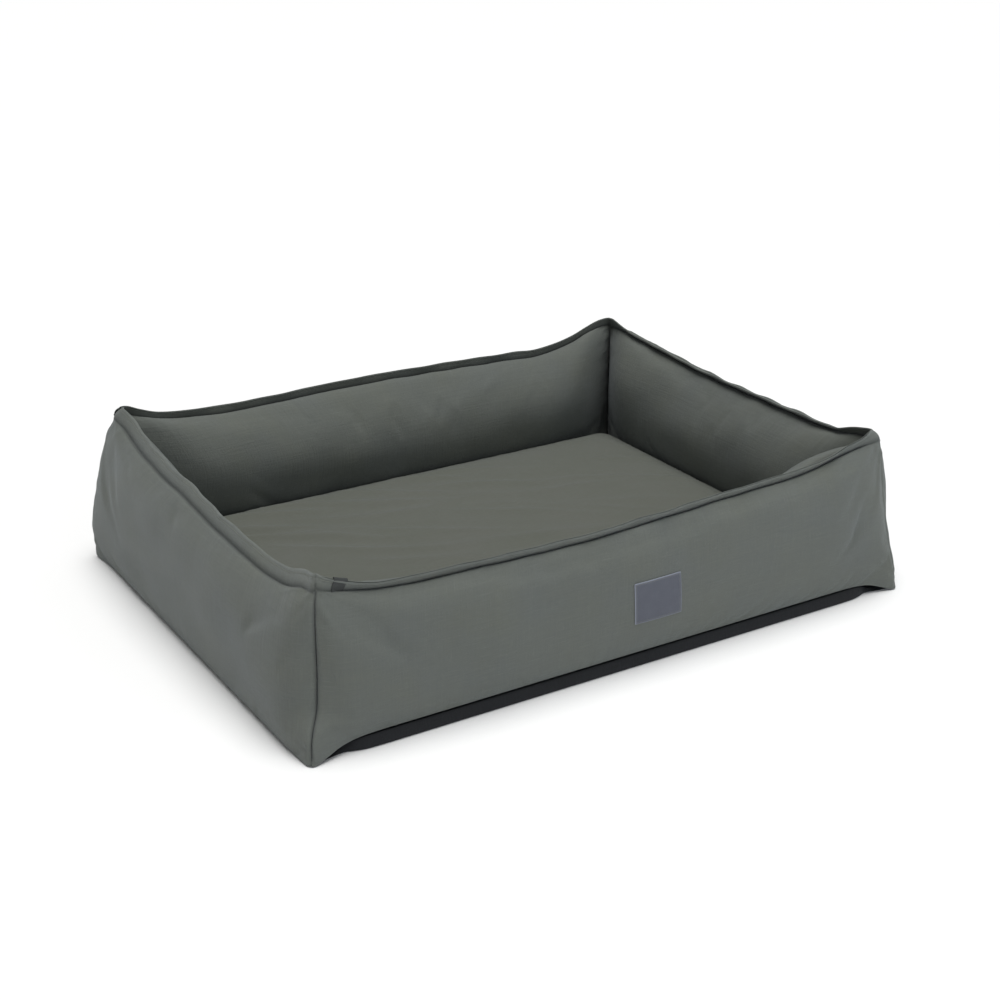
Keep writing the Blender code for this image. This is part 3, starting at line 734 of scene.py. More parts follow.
def stitch_row(name, P, N, pitch=0.0040, length=0.0030, thick=0.00034, seed=1, sink=0.00005):
    """Thread stitches lying on a cloth: P is the line, N the cloth's outward direction along it."""
    both = resample(np.concatenate([P, N], 1), pitch)
    pts, nor = both[:, :3], both[:, 3:]
    tan = np.gradient(pts, axis=0)
    tan /= np.linalg.norm(tan, axis=1)[:, None]
    nor = nor - (nor * tan).sum(1)[:, None] * tan
    nor /= np.linalg.norm(nor, axis=1)[:, None]
    sidev = np.cross(nor, tan)
    r = np.random.default_rng(seed)
    verts, faces = bead(6)
    frames = []
    for p, x, y, zz in zip(pts, tan, sidev, nor):
        sl = r.normal(0, 0.05)
        x2 = x + sl * y
        y2 = y - sl * x
        frames.append((p + zz * (thick * 0.55 - sink), x2 * length / 2, y2 * thick, zz * thick))
    return scatter(name, verts, faces, frames)


THREAD_K = Nodes("thread")
_c = THREAD_K.new("ShaderNodeTexCoord").outputs["Object"]
_n = THREAD_K.noise(_c, 900.0, 2.0, 0.6)
THREAD_K.link(THREAD_K.mix(THREAD_K.ramp(_n, 0.3, 0.7), srgb(100, 104, 97), srgb(128, 131, 122)), THREAD_K.bsdf.inputs["Base Color"])
THREAD_K.bsdf.inputs["Roughness"].default_value = 0.6
THREAD_K.link(THREAD_K.bump(_n, 0.4, 0.0002), THREAD_K.bsdf.inputs["Normal"])
THREAD = THREAD_K.mat

for wall in WALLS:
    for side, sign in (("outer", 1.0), ("inner", -1.0)):
        t = PANELS[wall, side][2]
        keep = np.abs(t) < 1 - 0.006 / HALF[wall]
        F0 = flange_points(wall, t[keep], sign)
        F1 = flange_points(wall, t[keep], sign, 0.001)
        turn = CORNER_TURN if side == "outer" else CORNER_TURN * 0.8
        p0 = to_world(wall, t[keep], F0[0][:, STITCH_ROW], F0[1][:, STITCH_ROW], turn)
        p1 = to_world(wall, t[keep], F1[0][:, STITCH_ROW], F1[1][:, STITCH_ROW], turn)
        o = stitch_row(f"{wall}_{side}_topstitch", p0, (p1 - p0) / 0.001, seed=40 + WALLS.index(wall))
        paint(o, THREAD)
        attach(o, "surround")


# ------------------------------------------------------------------ foam cores of the walls
def loft_mesh(name, rings):
    """rings[i, k]: ring i, point k; capped at both ends with a fan."""
    n, m = rings.shape[:2]
    verts = np.concatenate([rings.reshape(-1, 3), rings[0].mean(0)[None], rings[-1].mean(0)[None]])
    faces = []
    for i in range(n - 1):
        for k in range(m):
            faces.append((i * m + k, i * m + (k + 1) % m, (i + 1) * m + (k + 1) % m, (i + 1) * m + k))
    for k in range(m):
        faces.append((n * m, (k + 1) % m, k))
        faces.append((n * m + 1, (n - 1) * m + k, (n - 1) * m + (k + 1) % m))
    me = bpy.data.meshes.new(name)
    me.from_pydata(verts.tolist(), [], faces)
    bm = bmesh.new()
    bm.from_mesh(me)
    bmesh.ops.recalc_face_normals(bm, faces=bm.faces)
    bm.to_mesh(me)
    bm.free()
    me.update()
    me.polygons.foreach_set("use_smooth", [True] * len(me.polygons))
    return me


def foam_material(name, colour, dark, scale):
    k = Nodes(name)
    c = k.new("ShaderNodeTexCoord").outputs["Object"]
    n = k.noise(c, scale, 3.0, 0.7)
    big = k.noise(c, 14.0, 3.0, 0.5)
    base = k.mix(k.ramp(n, 0.35, 0.62), dark, colour)
    base = k.mix(k.math("MULTIPLY", k.ramp(big, 0.35, 0.7), 0.25), base, dark)
    k.link(base, k.bsdf.inputs["Base Color"])
    k.bsdf.inputs["Roughness"].default_value = 0.95
    k.bsdf.inputs["Sheen Weight"].default_value = 0.15
    k.link(k.bump(n, 0.8, 0.0015), k.bsdf.inputs["Normal"])
    return k.mat


FOAM = foam_material("crumb_foam", srgb(214, 206, 178), srgb(176, 166, 136), 420.0)
WADDING = foam_material("fibre_wadding", srgb(236, 236, 232), srgb(205, 206, 202), 160.0)

for wall in WALLS:
    half = HALF[wall]
    lim = 1 - 0.030 / half
    tt = np.linspace(-lim, lim, 64)
    rings = []
    for i, tv in enumerate(tt):
        base = float(ridge_line(wall, np.array([tv]))[0][0])
        d = half * (1 - abs(tv))
        low = float(edge_height(wall, d))
        foot = float(foot_height(wall, tv))
        zs = np.linspace(0, 1, 15)
        zs = 0.0065 + (base - 0.024 - 0.0065) * (zs - 0.5 * np.sin(TAU * zs) / TAU)
        tarr = np.full(zs.shape, tv)
        uo, _ = outer_uz(wall, tarr, np.clip((zs - low) / (base - low), 0, 1), 0.96)
        ui, _ = inner_uz(wall, tarr, np.clip((zs - foot) / (base - foot), 0, 1), 0.96)
        uo = uo - 0.0062
        uo = np.where(zs < 0.022, np.minimum(uo, 0.0205 + 0.18 * (zs - 0.005)), uo)
        ui = ui + 0.0062
        ui = np.where(zs < FOOT_Z + 0.006, np.maximum(ui, -0.0262), ui)
        mid = (uo + ui) / 2
        q = (zs - zs[0]) / (zs[-1] - zs[0])
        full = np.clip(np.minimum(q, 1 - q) / 0.10, 0, 1)
        full = 0.35 + 0.65 * np.sqrt(1 - (1 - full) ** 2)
        uo, ui = mid + (uo - mid) * full, mid + (ui - mid) * full
        ring = np.concatenate([to_world(wall, tarr, uo, zs), to_world(wall, tarr, ui, zs)[::-1]])
        # soft round ends
        e = min(i, len(tt) - 1 - i)
        k = (0.78, 0.93, 0.985, 1.0)[min(e, 3)]
        ring = ring.mean(0) + (ring - ring.mean(0)) * k
        rings.append(ring)
    o = add(f"{wall}_wall_filling", loft_mesh(f"{wall}_wall_filling", np.array(rings)))
    modify(o, ("SUBSURF", {"levels": 1, "render_levels": 1}))
    paint(o, FOAM)
    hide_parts(f"{wall}_wall_foam")
    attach(o, "surround")

for wall in WALLS:
    for side in ("outer", "inner"):
        o, full, t = PANELS[wall, side]


# ------------------------------------------------------------------ base
def tray(name, reach, rise, nx, ny, z0, thick, colour, seed, wave):
    """The floor sheet: flat on the floor, turned up along its four sides to meet the wall covers."""
    def spread(n, low, high):
        a = np.linspace(-1, 1, n + 1)
        a = np.sign(a) * (1 - (1 - np.abs(a)) ** 1.2)
        return (low + high) / 2 + a * (high - low) / 2

    x = spread(nx, -RIDGE_X - reach["left"], RIDGE_X + reach["right"])
    y = spread(ny, -RIDGE_Y - reach["front"], RIDGE_Y + reach["back"])
    if rise:
        rows = np.array(((0.0014, 0.12), (0.0022, 0.42), (0.0022, 0.75), (0.0014, 1.0)))
        x = np.concatenate([(x[0] - rows[:, 0])[::-1], x, x[-1] + rows[:, 0]])
        # along the front the sheet runs out further on the floor and leans back up to the cover
        front_rows = np.array((0.0014, 0.0012, -0.0010, -0.0032))
        y = np.concatenate([(y[0] - front_rows)[::-1], y, y[-1] + rows[:, 0]])
        up = lambda n: np.concatenate([rows[::-1, 1], np.zeros(n + 1), rows[:, 1]])
        ux, uy = up(nx), up(ny)
    X, Y = np.meshgrid(x, y, indexing="ij")
    edge = np.minimum(np.minimum(X - x[0], x[-1] - X), np.minimum(Y - y[0], y[-1] - Y))
    Z = z0 + wave * (0.5 + 0.5 * field(X, Y, seed, 0.08, 0.3)) * smooth(edge, 0.004, 0.03)
    if rise:
        dx, dy = HALF["front"] + 0.028 - np.abs(X), HALF["left"] + 0.028 - np.abs(Y)
        ox = np.where(X > 0, edge_height("right", dy), edge_height("left", dy)) - 0.0016
        oy = np.where(Y > 0, edge_height("back", dx), edge_height("front", dx)) - 0.0016
        Z = Z + np.maximum(ux[:, None] * np.clip(ox, 0.0002, None), uy[None, :] * np.clip(oy, 0.0002, None))
    # corners drawn out towards the toes
    cx = np.clip((np.abs(X) - (RIDGE_X - 0.02)) / 0.05, 0, 1)
    cy = np.clip((np.abs(Y) - (RIDGE_Y - 0.02)) / 0.05, 0, 1)
    out = (0.0045 if rise else 0.0) * cx ** 2 * cy ** 2
    if rise:
        near_x = np.exp(-((np.clip(RIDGE_Y - np.abs(Y), 0, None) / 0.035) ** 1.5)) * np.clip(np.abs(X) / RIDGE_X, 0, 1) ** 8
        near_y = np.exp(-((np.clip(RIDGE_X - np.abs(X), 0, None) / 0.022) ** 1.5)) * np.clip(np.abs(Y) / RIDGE_Y, 0, 1) ** 8
        pull, pull_y = 0.0150 * near_x, 0.0100 * near_y
    else:
        pull = pull_y = 0.0
    P = np.stack([X + np.sign(X) * (out - pull), Y + np.sign(Y) * (out - pull_y), Z], -1)
    me = grid_mesh(name, P, attr=np.stack([X, Y, np.zeros_like(X)], -1))
    middle = (X.shape[0] // 2) * (X.shape[1] - 1) + X.shape[1] // 2
    face_towards(me, middle, np.array((0, 0, -1.0 if rise else 1.0)))
    set_value(me, "edge", np.zeros(X.shape))
    o = add(name, me)
    thicken(o, thick, -1.0)
    if rise:
        # thickening tilts under the turned-up corners, and the sheet lies on the floor
        low = coords(o.data)
        low[:, 2] = np.maximum(low[:, 2], 0.0)
        put(o.data, low)
    paint(o, colour)
    return o, P


base_o, base_P = tray("floor_base_cloth", {"front": 0.0335, "right": 0.0365, "back": 0.0260, "left": 0.0350}, True, 150, 116, 0.0000, 0.0010,
                      BLACK_CLOTH, 71, 0.0)
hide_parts("base_sheet")
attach(base_o, "surround")
lin_o, lin_P = tray("base_lining_cloth", dict.fromkeys(WALLS, 0.004), False, 110, 84, 0.0026, 0.0007,
                    LINING, 72, 0.0007)
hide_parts("base_lining")
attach(lin_o, "surround")


# ------------------------------------------------------------------ label on the front, ribbon tab on the flange
def label_xz(a, b):
    x = -0.0098 + a * 0.0805 + b * 0.0062
    z = 0.1385 - b * 0.0650 - 0.0004 * a
    return x, z


from mathutils.bvhtree import BVHTree

front = PANELS["front", "outer"][0]
tree = BVHTree.FromPolygons([v.co.copy() for v in front.data.vertices],
                            [tuple(p.vertices) for p in front.data.polygons])
NA, NB = 36, 30
LP = np.zeros((NA + 1, NB + 1, 3))
for i in range(NA + 1):
    for j in range(NB + 1):
        x, z = label_xz(i / NA, j / NB)
        hit = tree.ray_cast(Vector((x, -0.6, z)), Vector((0, 1, 0)))
        LP[i, j] = hit[0]
# the woven label is stiffer than the cover, so it bridges small hollows
for _ in range(30):
    inner_avg = (LP[:-2, 1:-1, 1] + LP[2:, 1:-1, 1] + LP[1:-1, :-2, 1] + LP[1:-1, 2:, 1]) / 4
    LP[1:-1, 1:-1, 1] = np.minimum(LP[1:-1, 1:-1, 1], inner_avg)
ai, bi = np.meshgrid(np.linspace(0, 1, NA + 1), np.linspace(0, 1, NB + 1), indexing="ij")
rim_d = np.minimum(np.minimum(ai, 1 - ai) * 0.0815, np.minimum(bi, 1 - bi) * 0.0655)
lift = 0.00125 - 0.0004 * np.exp(-((rim_d - 0.0030) / 0.0009) ** 2)
LP[..., 1] -= lift
me = grid_mesh("woven_label", LP, attr=np.stack([ai * 0.0815, bi * 0.0655, np.zeros_like(ai)], -1))
set_value(me, "edge", np.maximum(np.exp(-np.minimum(bi * 0.0655, ai * 0.0815) / 0.0011), 0.35 * np.exp(-rim_d / 0.0012)))
face_towards(me, 5, np.array((0, -1.0, 0)))
label = add("woven_label", me)
thicken(label, 0.0009)


def label_material():
    k = Nodes("label_weave")
    co = k.attr("cloth").outputs["Vector"]
    sep = k.new("ShaderNodeSeparateXYZ")
    k.link(co, sep.inputs[0])
    p = 0.00055
    wa = k.math("SINE", k.math("MULTIPLY", sep.outputs[0], TAU / p))
    wb = k.math("SINE", k.math("MULTIPLY", sep.outputs[1], TAU / (p * 1.3)))
    w = k.math("MULTIPLY_ADD", k.math("MULTIPLY", wa, wb), 0.5, 0.5)
    cloud = k.noise(k.scaled(co, 60, 60), 1.0, 3.0, 0.6)
    base = k.mix(k.ramp(cloud, 0.3, 0.7), srgb(70, 74, 86), srgb(77, 81, 93))
    base = k.mix(k.math("MULTIPLY", w, 0.18), base, srgb(66, 70, 84))
    edge = k.attr("edge").outputs["Fac"]
    base = k.mix(k.math("MULTIPLY", edge, 0.75, clamp=True), base, srgb(150, 155, 168))
    k.link(base, k.bsdf.inputs["Base Color"])
    k.bsdf.inputs["Roughness"].default_value = 0.62
    k.bsdf.inputs["Sheen Weight"].default_value = 0.15
    k.link(k.bump(w, 0.5, 0.00018), k.bsdf.inputs["Normal"])
    return k.mat


paint(label, label_material())
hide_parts("label_patch")
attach(label, "surround")
ring = []
inset_a, inset_b = 0.0030 / 0.0815, 0.0030 / 0.0655
corners = [(inset_a, inset_b), (1 - inset_a, inset_b), (1 - inset_a, 1 - inset_b), (inset_a, 1 - inset_b)]
lab_pts = []
for (a0, b0), (a1, b1) in zip(corners, corners[1:] + corners[:1]):
    for q in np.linspace(0, 1, 40, endpoint=False):
        a, b = a0 + (a1 - a0) * q, b0 + (b1 - b0) * q
        fi, fj = a * NA, b * NB
        i, j = min(int(fi), NA - 1), min(int(fj), NB - 1)
        fx, fy = fi - i, fj - j
        lab_pts.append(LP[i, j] * (1 - fx) * (1 - fy) + LP[i + 1, j] * fx * (1 - fy)
                       + LP[i, j + 1] * (1 - fx) * fy + LP[i + 1, j + 1] * fx * fy)
lab_pts = np.array(lab_pts + lab_pts[:1])
o = stitch_row("label_stitching", lab_pts, np.tile([0, -1.0, 0], (len(lab_pts), 1)), 0.0026, 0.0019, 0.00025, 5)
paint(o, THREAD)
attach(o, "surround")

# ribbon folded over the flange
NW = 8
xs = np.linspace(-0.4445, -0.4275, NW + 1)
tx = xs / (RIDGE_X + 0.004)
fo_u, fo_z = flange_points("front", tx, 1.0, 0.0010)
fi_u, fi_z = flange_points("front", tx, -1.0, 0.0010)
top_u, top_z = (fo_u[:, -1] + fi_u[:, -1]) / 2, np.maximum(fo_z[:, -1], fi_z[:, -1]) + 0.0009
rows = []
for k in range(fo_u.shape[1]):
    rows.append((fo_u[:, k], fo_z[:, k]))
rows.append((fo_u[:, -1] * 0.75 + top_u * 0.25, (fo_z[:, -1] + top_z) / 2 + 0.0004))
rows.append((top_u, top_z))
rows.append((fi_u[:, -1] * 0.75 + top_u * 0.25, (fi_z[:, -1] + top_z) / 2 + 0.0004))
for k in range(fi_u.shape[1] - 1, 0, -1):
    rows.append((fi_u[:, k], fi_z[:, k]))
TU, TZ = np.stack([r[0] for r in rows], 1), np.stack([r[1] for r in rows], 1)
TP = np.stack([np.repeat(xs[:, None], TU.shape[1], 1), -(RIDGE_Y + TU), TZ], -1)
TP[:, 0, 2] -= 0.0015
TP[:, 0, 1] -= 0.0015
slide = np.concatenate([np.linspace(-0.0050, 0, fo_u.shape[1]), np.zeros(TP.shape[1] - fo_u.shape[1])])
TP[..., 0] += slide[None]
drop = np.cumsum(np.concatenate([[0], np.linalg.norm(np.diff(TP[4], axis=0), axis=1)]))
me = grid_mesh("folded_ribbon_tab", TP, attr=np.stack([np.repeat(xs[:, None], TU.shape[1], 1),
                                                        np.tile(drop, (NW + 1, 1)), np.zeros_like(TU)], -1))
face_towards(me, 3, np.array((0, -1.0, 0)))
tab = add("folded_ribbon_tab", me)
thicken(tab, 0.0007, -1.0)


def ribbon_material(name, colour, light, pitch):
    k = Nodes(name)
    co = k.attr("cloth").outputs["Vector"]
    sep = k.new("ShaderNodeSeparateXYZ")
    k.link(co, sep.inputs[0])
    rib = k.math("MULTIPLY_ADD", k.math("SINE", k.math("MULTIPLY", sep.outputs[1], TAU / pitch)), 0.5, 0.5)
    rib2 = k.math("MULTIPLY_ADD", k.math("SINE", k.math("MULTIPLY", sep.outputs[0], TAU / pitch)), 0.5, 0.5)
    n = k.noise(k.scaled(co, 300, 300), 1.0, 2.0, 0.5)
    base = k.mix(k.math("MULTIPLY", k.math("MULTIPLY", rib, rib2), k.ramp(n, 0.2, 0.8, 0.2, 0.6)), colour, light)
    k.link(base, k.bsdf.inputs["Base Color"])
    k.bsdf.inputs["Roughness"].default_value = 0.55
    k.bsdf.inputs["Sheen Weight"].default_value = 0.1
    k.link(k.bump(k.math("ADD", rib, rib2), 0.5, pitch * 0.25), k.bsdf.inputs["Normal"])
    return k.mat


RIBBON = ribbon_material("satin_ribbon", srgb(34, 38, 38), srgb(56, 60, 58), 0.0007)
TAPE = ribbon_material("zip_tape_weave", srgb(30, 32, 34), srgb(50, 52, 54), 0.0009)
paint(tab, RIBBON)
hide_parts("ribbon_tab")
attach(tab, "surround")


# ------------------------------------------------------------------ zips
def zip_material():
    k = Nodes("zip_metal")
    c = k.new("ShaderNodeTexCoord").outputs["Object"]
    n = k.noise(c, 700.0, 3.0, 0.6)
    w = k.noise(c, 160.0, 4.0, 0.7)
    k.link(k.mix(k.ramp(w, 0.55, 0.75), srgb(64, 66, 70), srgb(132, 132, 134)), k.bsdf.inputs["Base Color"])
    k.bsdf.inputs["Metallic"].default_value = 0.75
    k.link(k.ramp(n, 0.2, 0.8, 0.30, 0.50), k.bsdf.inputs["Roughness"])
    k.link(k.bump(n, 0.15, 0.0002), k.bsdf.inputs["Normal"])
    return k.mat


ZIP_METAL = zip_material()
COIL_K = Nodes("zip_coil")
_c = COIL_K.new("ShaderNodeTexCoord").outputs["Object"]
_n = COIL_K.noise(_c, 500.0, 2.0, 0.5)
COIL_K.link(COIL_K.mix(_n, srgb(34, 36, 38), srgb(58, 60, 62)), COIL_K.bsdf.inputs["Base Color"])
COIL_K.link(COIL_K.ramp(_n, 0.2, 0.8, 0.35, 0.5), COIL_K.bsdf.inputs["Roughness"])
COIL_K.link(COIL_K.bump(_n, 0.2, 0.0002), COIL_K.bsdf.inputs["Normal"])


def zip_tape(prefix, origin, X, Y, length, z0, z1, body):
    """A cloth tape standing in its seam, with a nylon coil sewn along its middle."""
    n, m = int(length / 0.008), 12
    a, b = np.linspace(-0.5, 0.5, n + 1) * length, np.linspace(0, 1, m + 1)
    A, B = np.meshgrid(a, b, indexing="ij")
    Z = z0 + (z1 - z0) * B
    ripple = 0.00018 * line_noise(A, 90, 0.03, 0.12)
    rel = np.abs(B - 0.5) * (z1 - z0)
    off = 0.0003 + ripple * smooth(rel, 0.003, 0.012) - 0.00012 * np.exp(-((rel - 0.0042) / 0.0008) ** 2)
    P = origin + A[..., None] * X + off[..., None] * Y + Z[..., None] * np.array((0, 0, 1.0))
    me = grid_mesh(f"{prefix}_zip_tape_cloth", P, attr=np.stack([A, Z, np.zeros_like(A)], -1))
    face_towards(me, 3, Y)
    o = add(me.name, me)
    thicken(o, 0.0006, -1.0, sub=False)
    paint(o, TAPE)
    verts, faces = bead(6)
    zc = (z0 + z1) / 2
    frames = []
    count = int((length - 0.006) / 0.0017)
    for k in range(count):
        side = 1 if k % 2 else -1
        p = origin + X * (-length / 2 + 0.003 + k * 0.0017) + Y * 0.00125 + np.array((0, 0, zc + side * 0.0010))
        frames.append((p, np.array((0, 0, 1.0)) * 0.0019 + X * 0.0003 * side, X * 0.00062, Y * 0.00075))
    coil = scatter(f"{prefix}_zip_coil", verts, faces, frames)
    paint(coil, COIL_K.mat)
    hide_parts(f"{prefix}_zip_tape")
    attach(o, body)
    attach(coil, body)
    return o


ZIP_LEN = {"front": 0.608, "back": 0.608, "left": 0.368, "right": 0.368}
for wall in WALLS:
    ox = np.array(OUTWARD[wall] + (0,), float)
    zip_tape(wall, ox * (RIDGE[wall] - 0.033), np.array(ALONG[wall] + (0,), float), -ox, ZIP_LEN[wall],
             0.0046, 0.0350, "surround")
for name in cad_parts:
    if name.endswith("_zip_slider") or name.endswith("_zip_pull"):
        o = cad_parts[name]
        o.data.materials.clear()
        o.data.materials.append(ZIP_METAL)


# ------------------------------------------------------------------ cushion
def plan_grid(nx, ny, hx, hy, r):
    a, b = np.linspace(-1, 1, nx + 1), np.linspace(-1, 1, ny + 1)
    x = hx * np.sign(a) * (1 - (1 - np.abs(a)) ** 1.22)
    y = hy * np.sign(b) * (1 - (1 - np.abs(b)) ** 1.22)
    X, Y = np.meshgrid(x, y, indexing="ij")
    p = np.clip((np.abs(X) - (hx - r)) / r, 0, 1)
    q = np.clip((np.abs(Y) - (hy - r)) / r, 0, 1)
    both = (p > 0) & (q > 0)
    X2 = np.where(both, np.sign(X) * (hx - r + r * p * np.sqrt(1 - q * q / 2)), X)
    Y2 = np.where(both, np.sign(Y) * (hy - r + r * q * np.sqrt(1 - p * p / 2)), Y)
    return X2, Y2


RW = np.random.default_rng(506)
WRINKLES = []
for _ in range(26):
    x0, y0 = RW.uniform(-0.38, 0.36), RW.uniform(-0.24, 0.25)
    WRINKLES.append((x0, y0, RW.normal(-0.50, 0.16), RW.uniform(0.06, 0.17), RW.uniform(0.007, 0.014),
                     RW.uniform(0.0006, 0.0015), RW.uniform(-1.2, 1.2)))
for _ in range(6):
    WRINKLES.append((RW.uniform(-0.36, -0.10), RW.uniform(0.10, 0.26), RW.normal(-0.42, 0.08), RW.uniform(0.08, 0.16),
                     RW.uniform(0.008, 0.013), RW.uniform(0.0013, 0.0024), RW.uniform(-0.9, 0.9)))


def cushion_top_z(X, Y, edge_z=0.0665, crown=0.0115):
    ex, ey = np.clip(CUSHION_X - np.abs(X), 0, None), np.clip(CUSHION_Y - np.abs(Y), 0, None)
    fx, fy = 1 - np.exp(-((ex / 0.020) ** 0.85)), 1 - np.exp(-((ey / 0.020) ** 0.85))
    z = edge_z + crown * fx * fy
    z = z + 0.0012 * field(X, Y, 301, 0.14, 0.40) * smooth(np.minimum(ex, ey), 0, 0.06)
    wr = np.zeros_like(z)
    for x0, y0, ang, length, wide, high, curve in WRINKLES:
        c, s = math.cos(ang), math.sin(ang)
        p, q = (X - x0) * c + (Y - y0) * s, -(X - x0) * s + (Y - y0) * c
        q = q - curve * p * p
        wr = wr + 2.5 * high * np.exp(-(p / length) ** 2) * (np.exp(-(q / wide) ** 2) - 0.45 * np.exp(-((q - wide * 1.6) / (wide * 1.3)) ** 2))
    return z + wr * smooth(np.minimum(ex, ey), 0.0, 0.03)


NX, NY = 132, 94
X, Y = plan_grid(NX, NY, CUSHION_X, CUSHION_Y, CUSHION_R)
ex, ey = CUSHION_X - np.abs(X), CUSHION_Y - np.abs(Y)
Z = cushion_top_z(X, Y)
me = grid_mesh("cushion_sim", np.stack([X, Y, Z], -1))
face_towards(me, len(me.polygons) // 2, np.array((0, 0, 1.0)))
o = add("cushion_sim", me)
pins = np.zeros(X.shape)
pins[1, :] = pins[-2, :] = pins[:, 1] = pins[:, -2] = 0.5
pins[0, :] = pins[-1, :] = pins[:, 0] = pins[:, -1] = 1
inflate(o, pins.ravel(), pressure=2.2, slack=0.006, frames=14, cap=(0.0010, 0.0018), bend=1.0, tension=18.0)
top_co = coords(o.data).reshape(X.shape + (3,))
bpy.data.objects.remove(o, do_unlink=True)
near = np.minimum(ex, ey)
run = np.where(ex < ey, Y, X)
top_co[..., 2] += 0.0009 * np.exp(-near / 0.014) * (1 - np.exp(-near / 0.003)) * line_noise(run, 311, 0.014, 0.040)
me = grid_mesh("cushion_top_cloth", top_co, attr=np.stack([X, Y + 2.0, np.zeros_like(X)], -1))
face_towards(me, len(me.polygons) // 2, np.array((0, 0, 1.0)))
set_value(me, "edge", np.exp(-near / 0.004) * 0.8)
ctop = add("cushion_top_cloth", me)
thicken(ctop)
paint(ctop, CUSHION_CANVAS)
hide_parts("cushion_top_panel")
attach(ctop, "cushion")

Xb, Yb = plan_grid(100, 70, CUSHION_X, CUSHION_Y, CUSHION_R)
nb = np.minimum(CUSHION_X - np.abs(Xb), CUSHION_Y - np.abs(Yb))
Zb = 0.0040 + 0.0022 * np.exp(-nb / 0.006) + 0.00025 * field(Xb, Yb, 320, 0.06, 0.25)
me = grid_mesh("cushion_bottom_cloth", np.stack([Xb, Yb, Zb], -1), attr=np.stack([Xb, Yb + 3.0, np.zeros_like(Xb)], -1))
face_towards(me, len(me.polygons) // 2, np.array((0, 0, -1.0)))
set_value(me, "edge", np.exp(-nb / 0.004) * 0.8)
cbot = add("cushion_bottom_cloth", me)
thicken(cbot)
paint(cbot, CUSHION_CANVAS)
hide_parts("cushion_bottom_panel")
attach(cbot, "cushion")


def rounded_loop(hx, hy, r, step):
    """Points and outward directions round a rounded rectangle."""
    pts, nor = [], []
    centres = [(hx - r, -(hy - r), -90), (hx - r, hy - r, 0), (-(hx - r), hy - r, 90), (-(hx - r), -(hy - r), 180)]
    for i, (cx, cy, a0) in enumerate(centres):
        for k in range(7):
            a = math.radians(a0 + 90 * k / 6)
            pts.append((cx + r * math.cos(a), cy + r * math.sin(a)))
            nor.append((math.cos(a), math.sin(a)))
        nx_, ny_, na = centres[(i + 1) % 4]
        p0 = np.array(pts[-1])
        a1 = math.radians(na)
        p1 = np.array((nx_ + r * math.cos(a1), ny_ + r * math.sin(a1)))
        n = int(np.linalg.norm(p1 - p0) / step)
        for k in range(1, n):
            pts.append(tuple(p0 + (p1 - p0) * k / n))
            nor.append(nor[-1])
    return np.array(pts), np.array(nor)


LPT, LNR = rounded_loop(CUSHION_X - 0.0088, CUSHION_Y - 0.0088, CUSHION_R - 0.008, 0.0075)
arc = np.concatenate([[0], np.cumsum(np.linalg.norm(np.diff(LPT, axis=0), axis=1))])
q = np.linspace(0, 1, 15)
flare = 0.0075 * np.abs(2 * q - 1) ** 5
zs = 0.0068 + (0.0655 - 0.0068) * q
behind_zip = (LPT[:, 1] > CUSHION_Y - 0.012) & (np.abs(LPT[:, 0]) < 0.275)
puff = 0.0006 * line_noise(arc, 330, 0.05, 0.2)[:, None] * np.sin(math.pi * q)[None] * (~behind_zip)[:, None]
offs = flare[None] + puff + 0.0005 * line_noise(arc, 331, 0.012, 0.03)[:, None] * (flare / 0.0075)[None] * 0
BPt = np.zeros((len(LPT), len(q), 3))
BPt[..., :2] = LPT[:, None] + LNR[:, None] * offs[..., None]
BPt[..., 2] = zs[None]
me = grid_mesh("cushion_band_cloth", BPt, attr=np.stack([np.repeat(arc[:, None], len(q), 1), BPt[..., 2] + 4.0,
                                                        np.zeros(BPt.shape[:2])], -1), closed=True)
k0 = int(np.argmax(LPT[:, 0]))
face_towards(me, k0 * (len(q) - 1) + 5, np.array((1.0, 0, 0)))
set_value(me, "edge", np.repeat(((np.abs(2 * q - 1) ** 12) * 0.8)[None], len(LPT), 0))
band = add("cushion_band_cloth", me)
thicken(band, CLOTH, -1.0)
paint(band, CUSHION_CANVAS)
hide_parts("cushion_band")
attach(band, "cushion")


def welt(name, hx, hy, r, z, radius):
    """The rolled seam where the band is sewn to a panel."""
    P, N = rounded_loop(hx, hy, r, 0.005)
    s = np.concatenate([[0], np.cumsum(np.linalg.norm(np.diff(P, axis=0), axis=1))])
    w = 0.0003 * line_noise(s, 340, 0.02, 0.08)
    rings = np.zeros((len(P), 10, 3))
    for k in range(10):
        a = TAU * k / 10
        rr = radius * (1 + 0.10 * line_noise(s + k * 0.01, 341, 0.008, 0.02))
        rings[:, k, :2] = P + N * (rr * math.cos(a))[:, None]
        rings[:, k, 2] = z + w + rr * math.sin(a)
    n = len(P)
    me = bpy.data.meshes.new(name)
    faces = [(i * 10 + k, ((i + 1) % n) * 10 + k, ((i + 1) % n) * 10 + (k + 1) % 10, i * 10 + (k + 1) % 10)
             for i in range(n) for k in range(10)]
    me.from_pydata(rings.reshape(-1, 3).tolist(), [], faces)
    set_cloth(me, np.stack([np.repeat(s[:, None], 10, 1), np.tile(np.arange(10) * radius * 0.6, (n, 1)) + 5,
                            np.zeros((n, 10))], -1).reshape(-1, 3))
    set_value(me, "edge", np.full(n * 10, 0.8))
    bm = bmesh.new()
    bm.from_mesh(me)
    bmesh.ops.recalc_face_normals(bm, faces=bm.faces)
    bm.to_mesh(me)
    bm.free()
    me.polygons.foreach_set("use_smooth", [True] * len(me.polygons))
    o = add(name, me)
    paint(o, CUSHION_CANVAS)
    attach(o, "cushion")
    return o


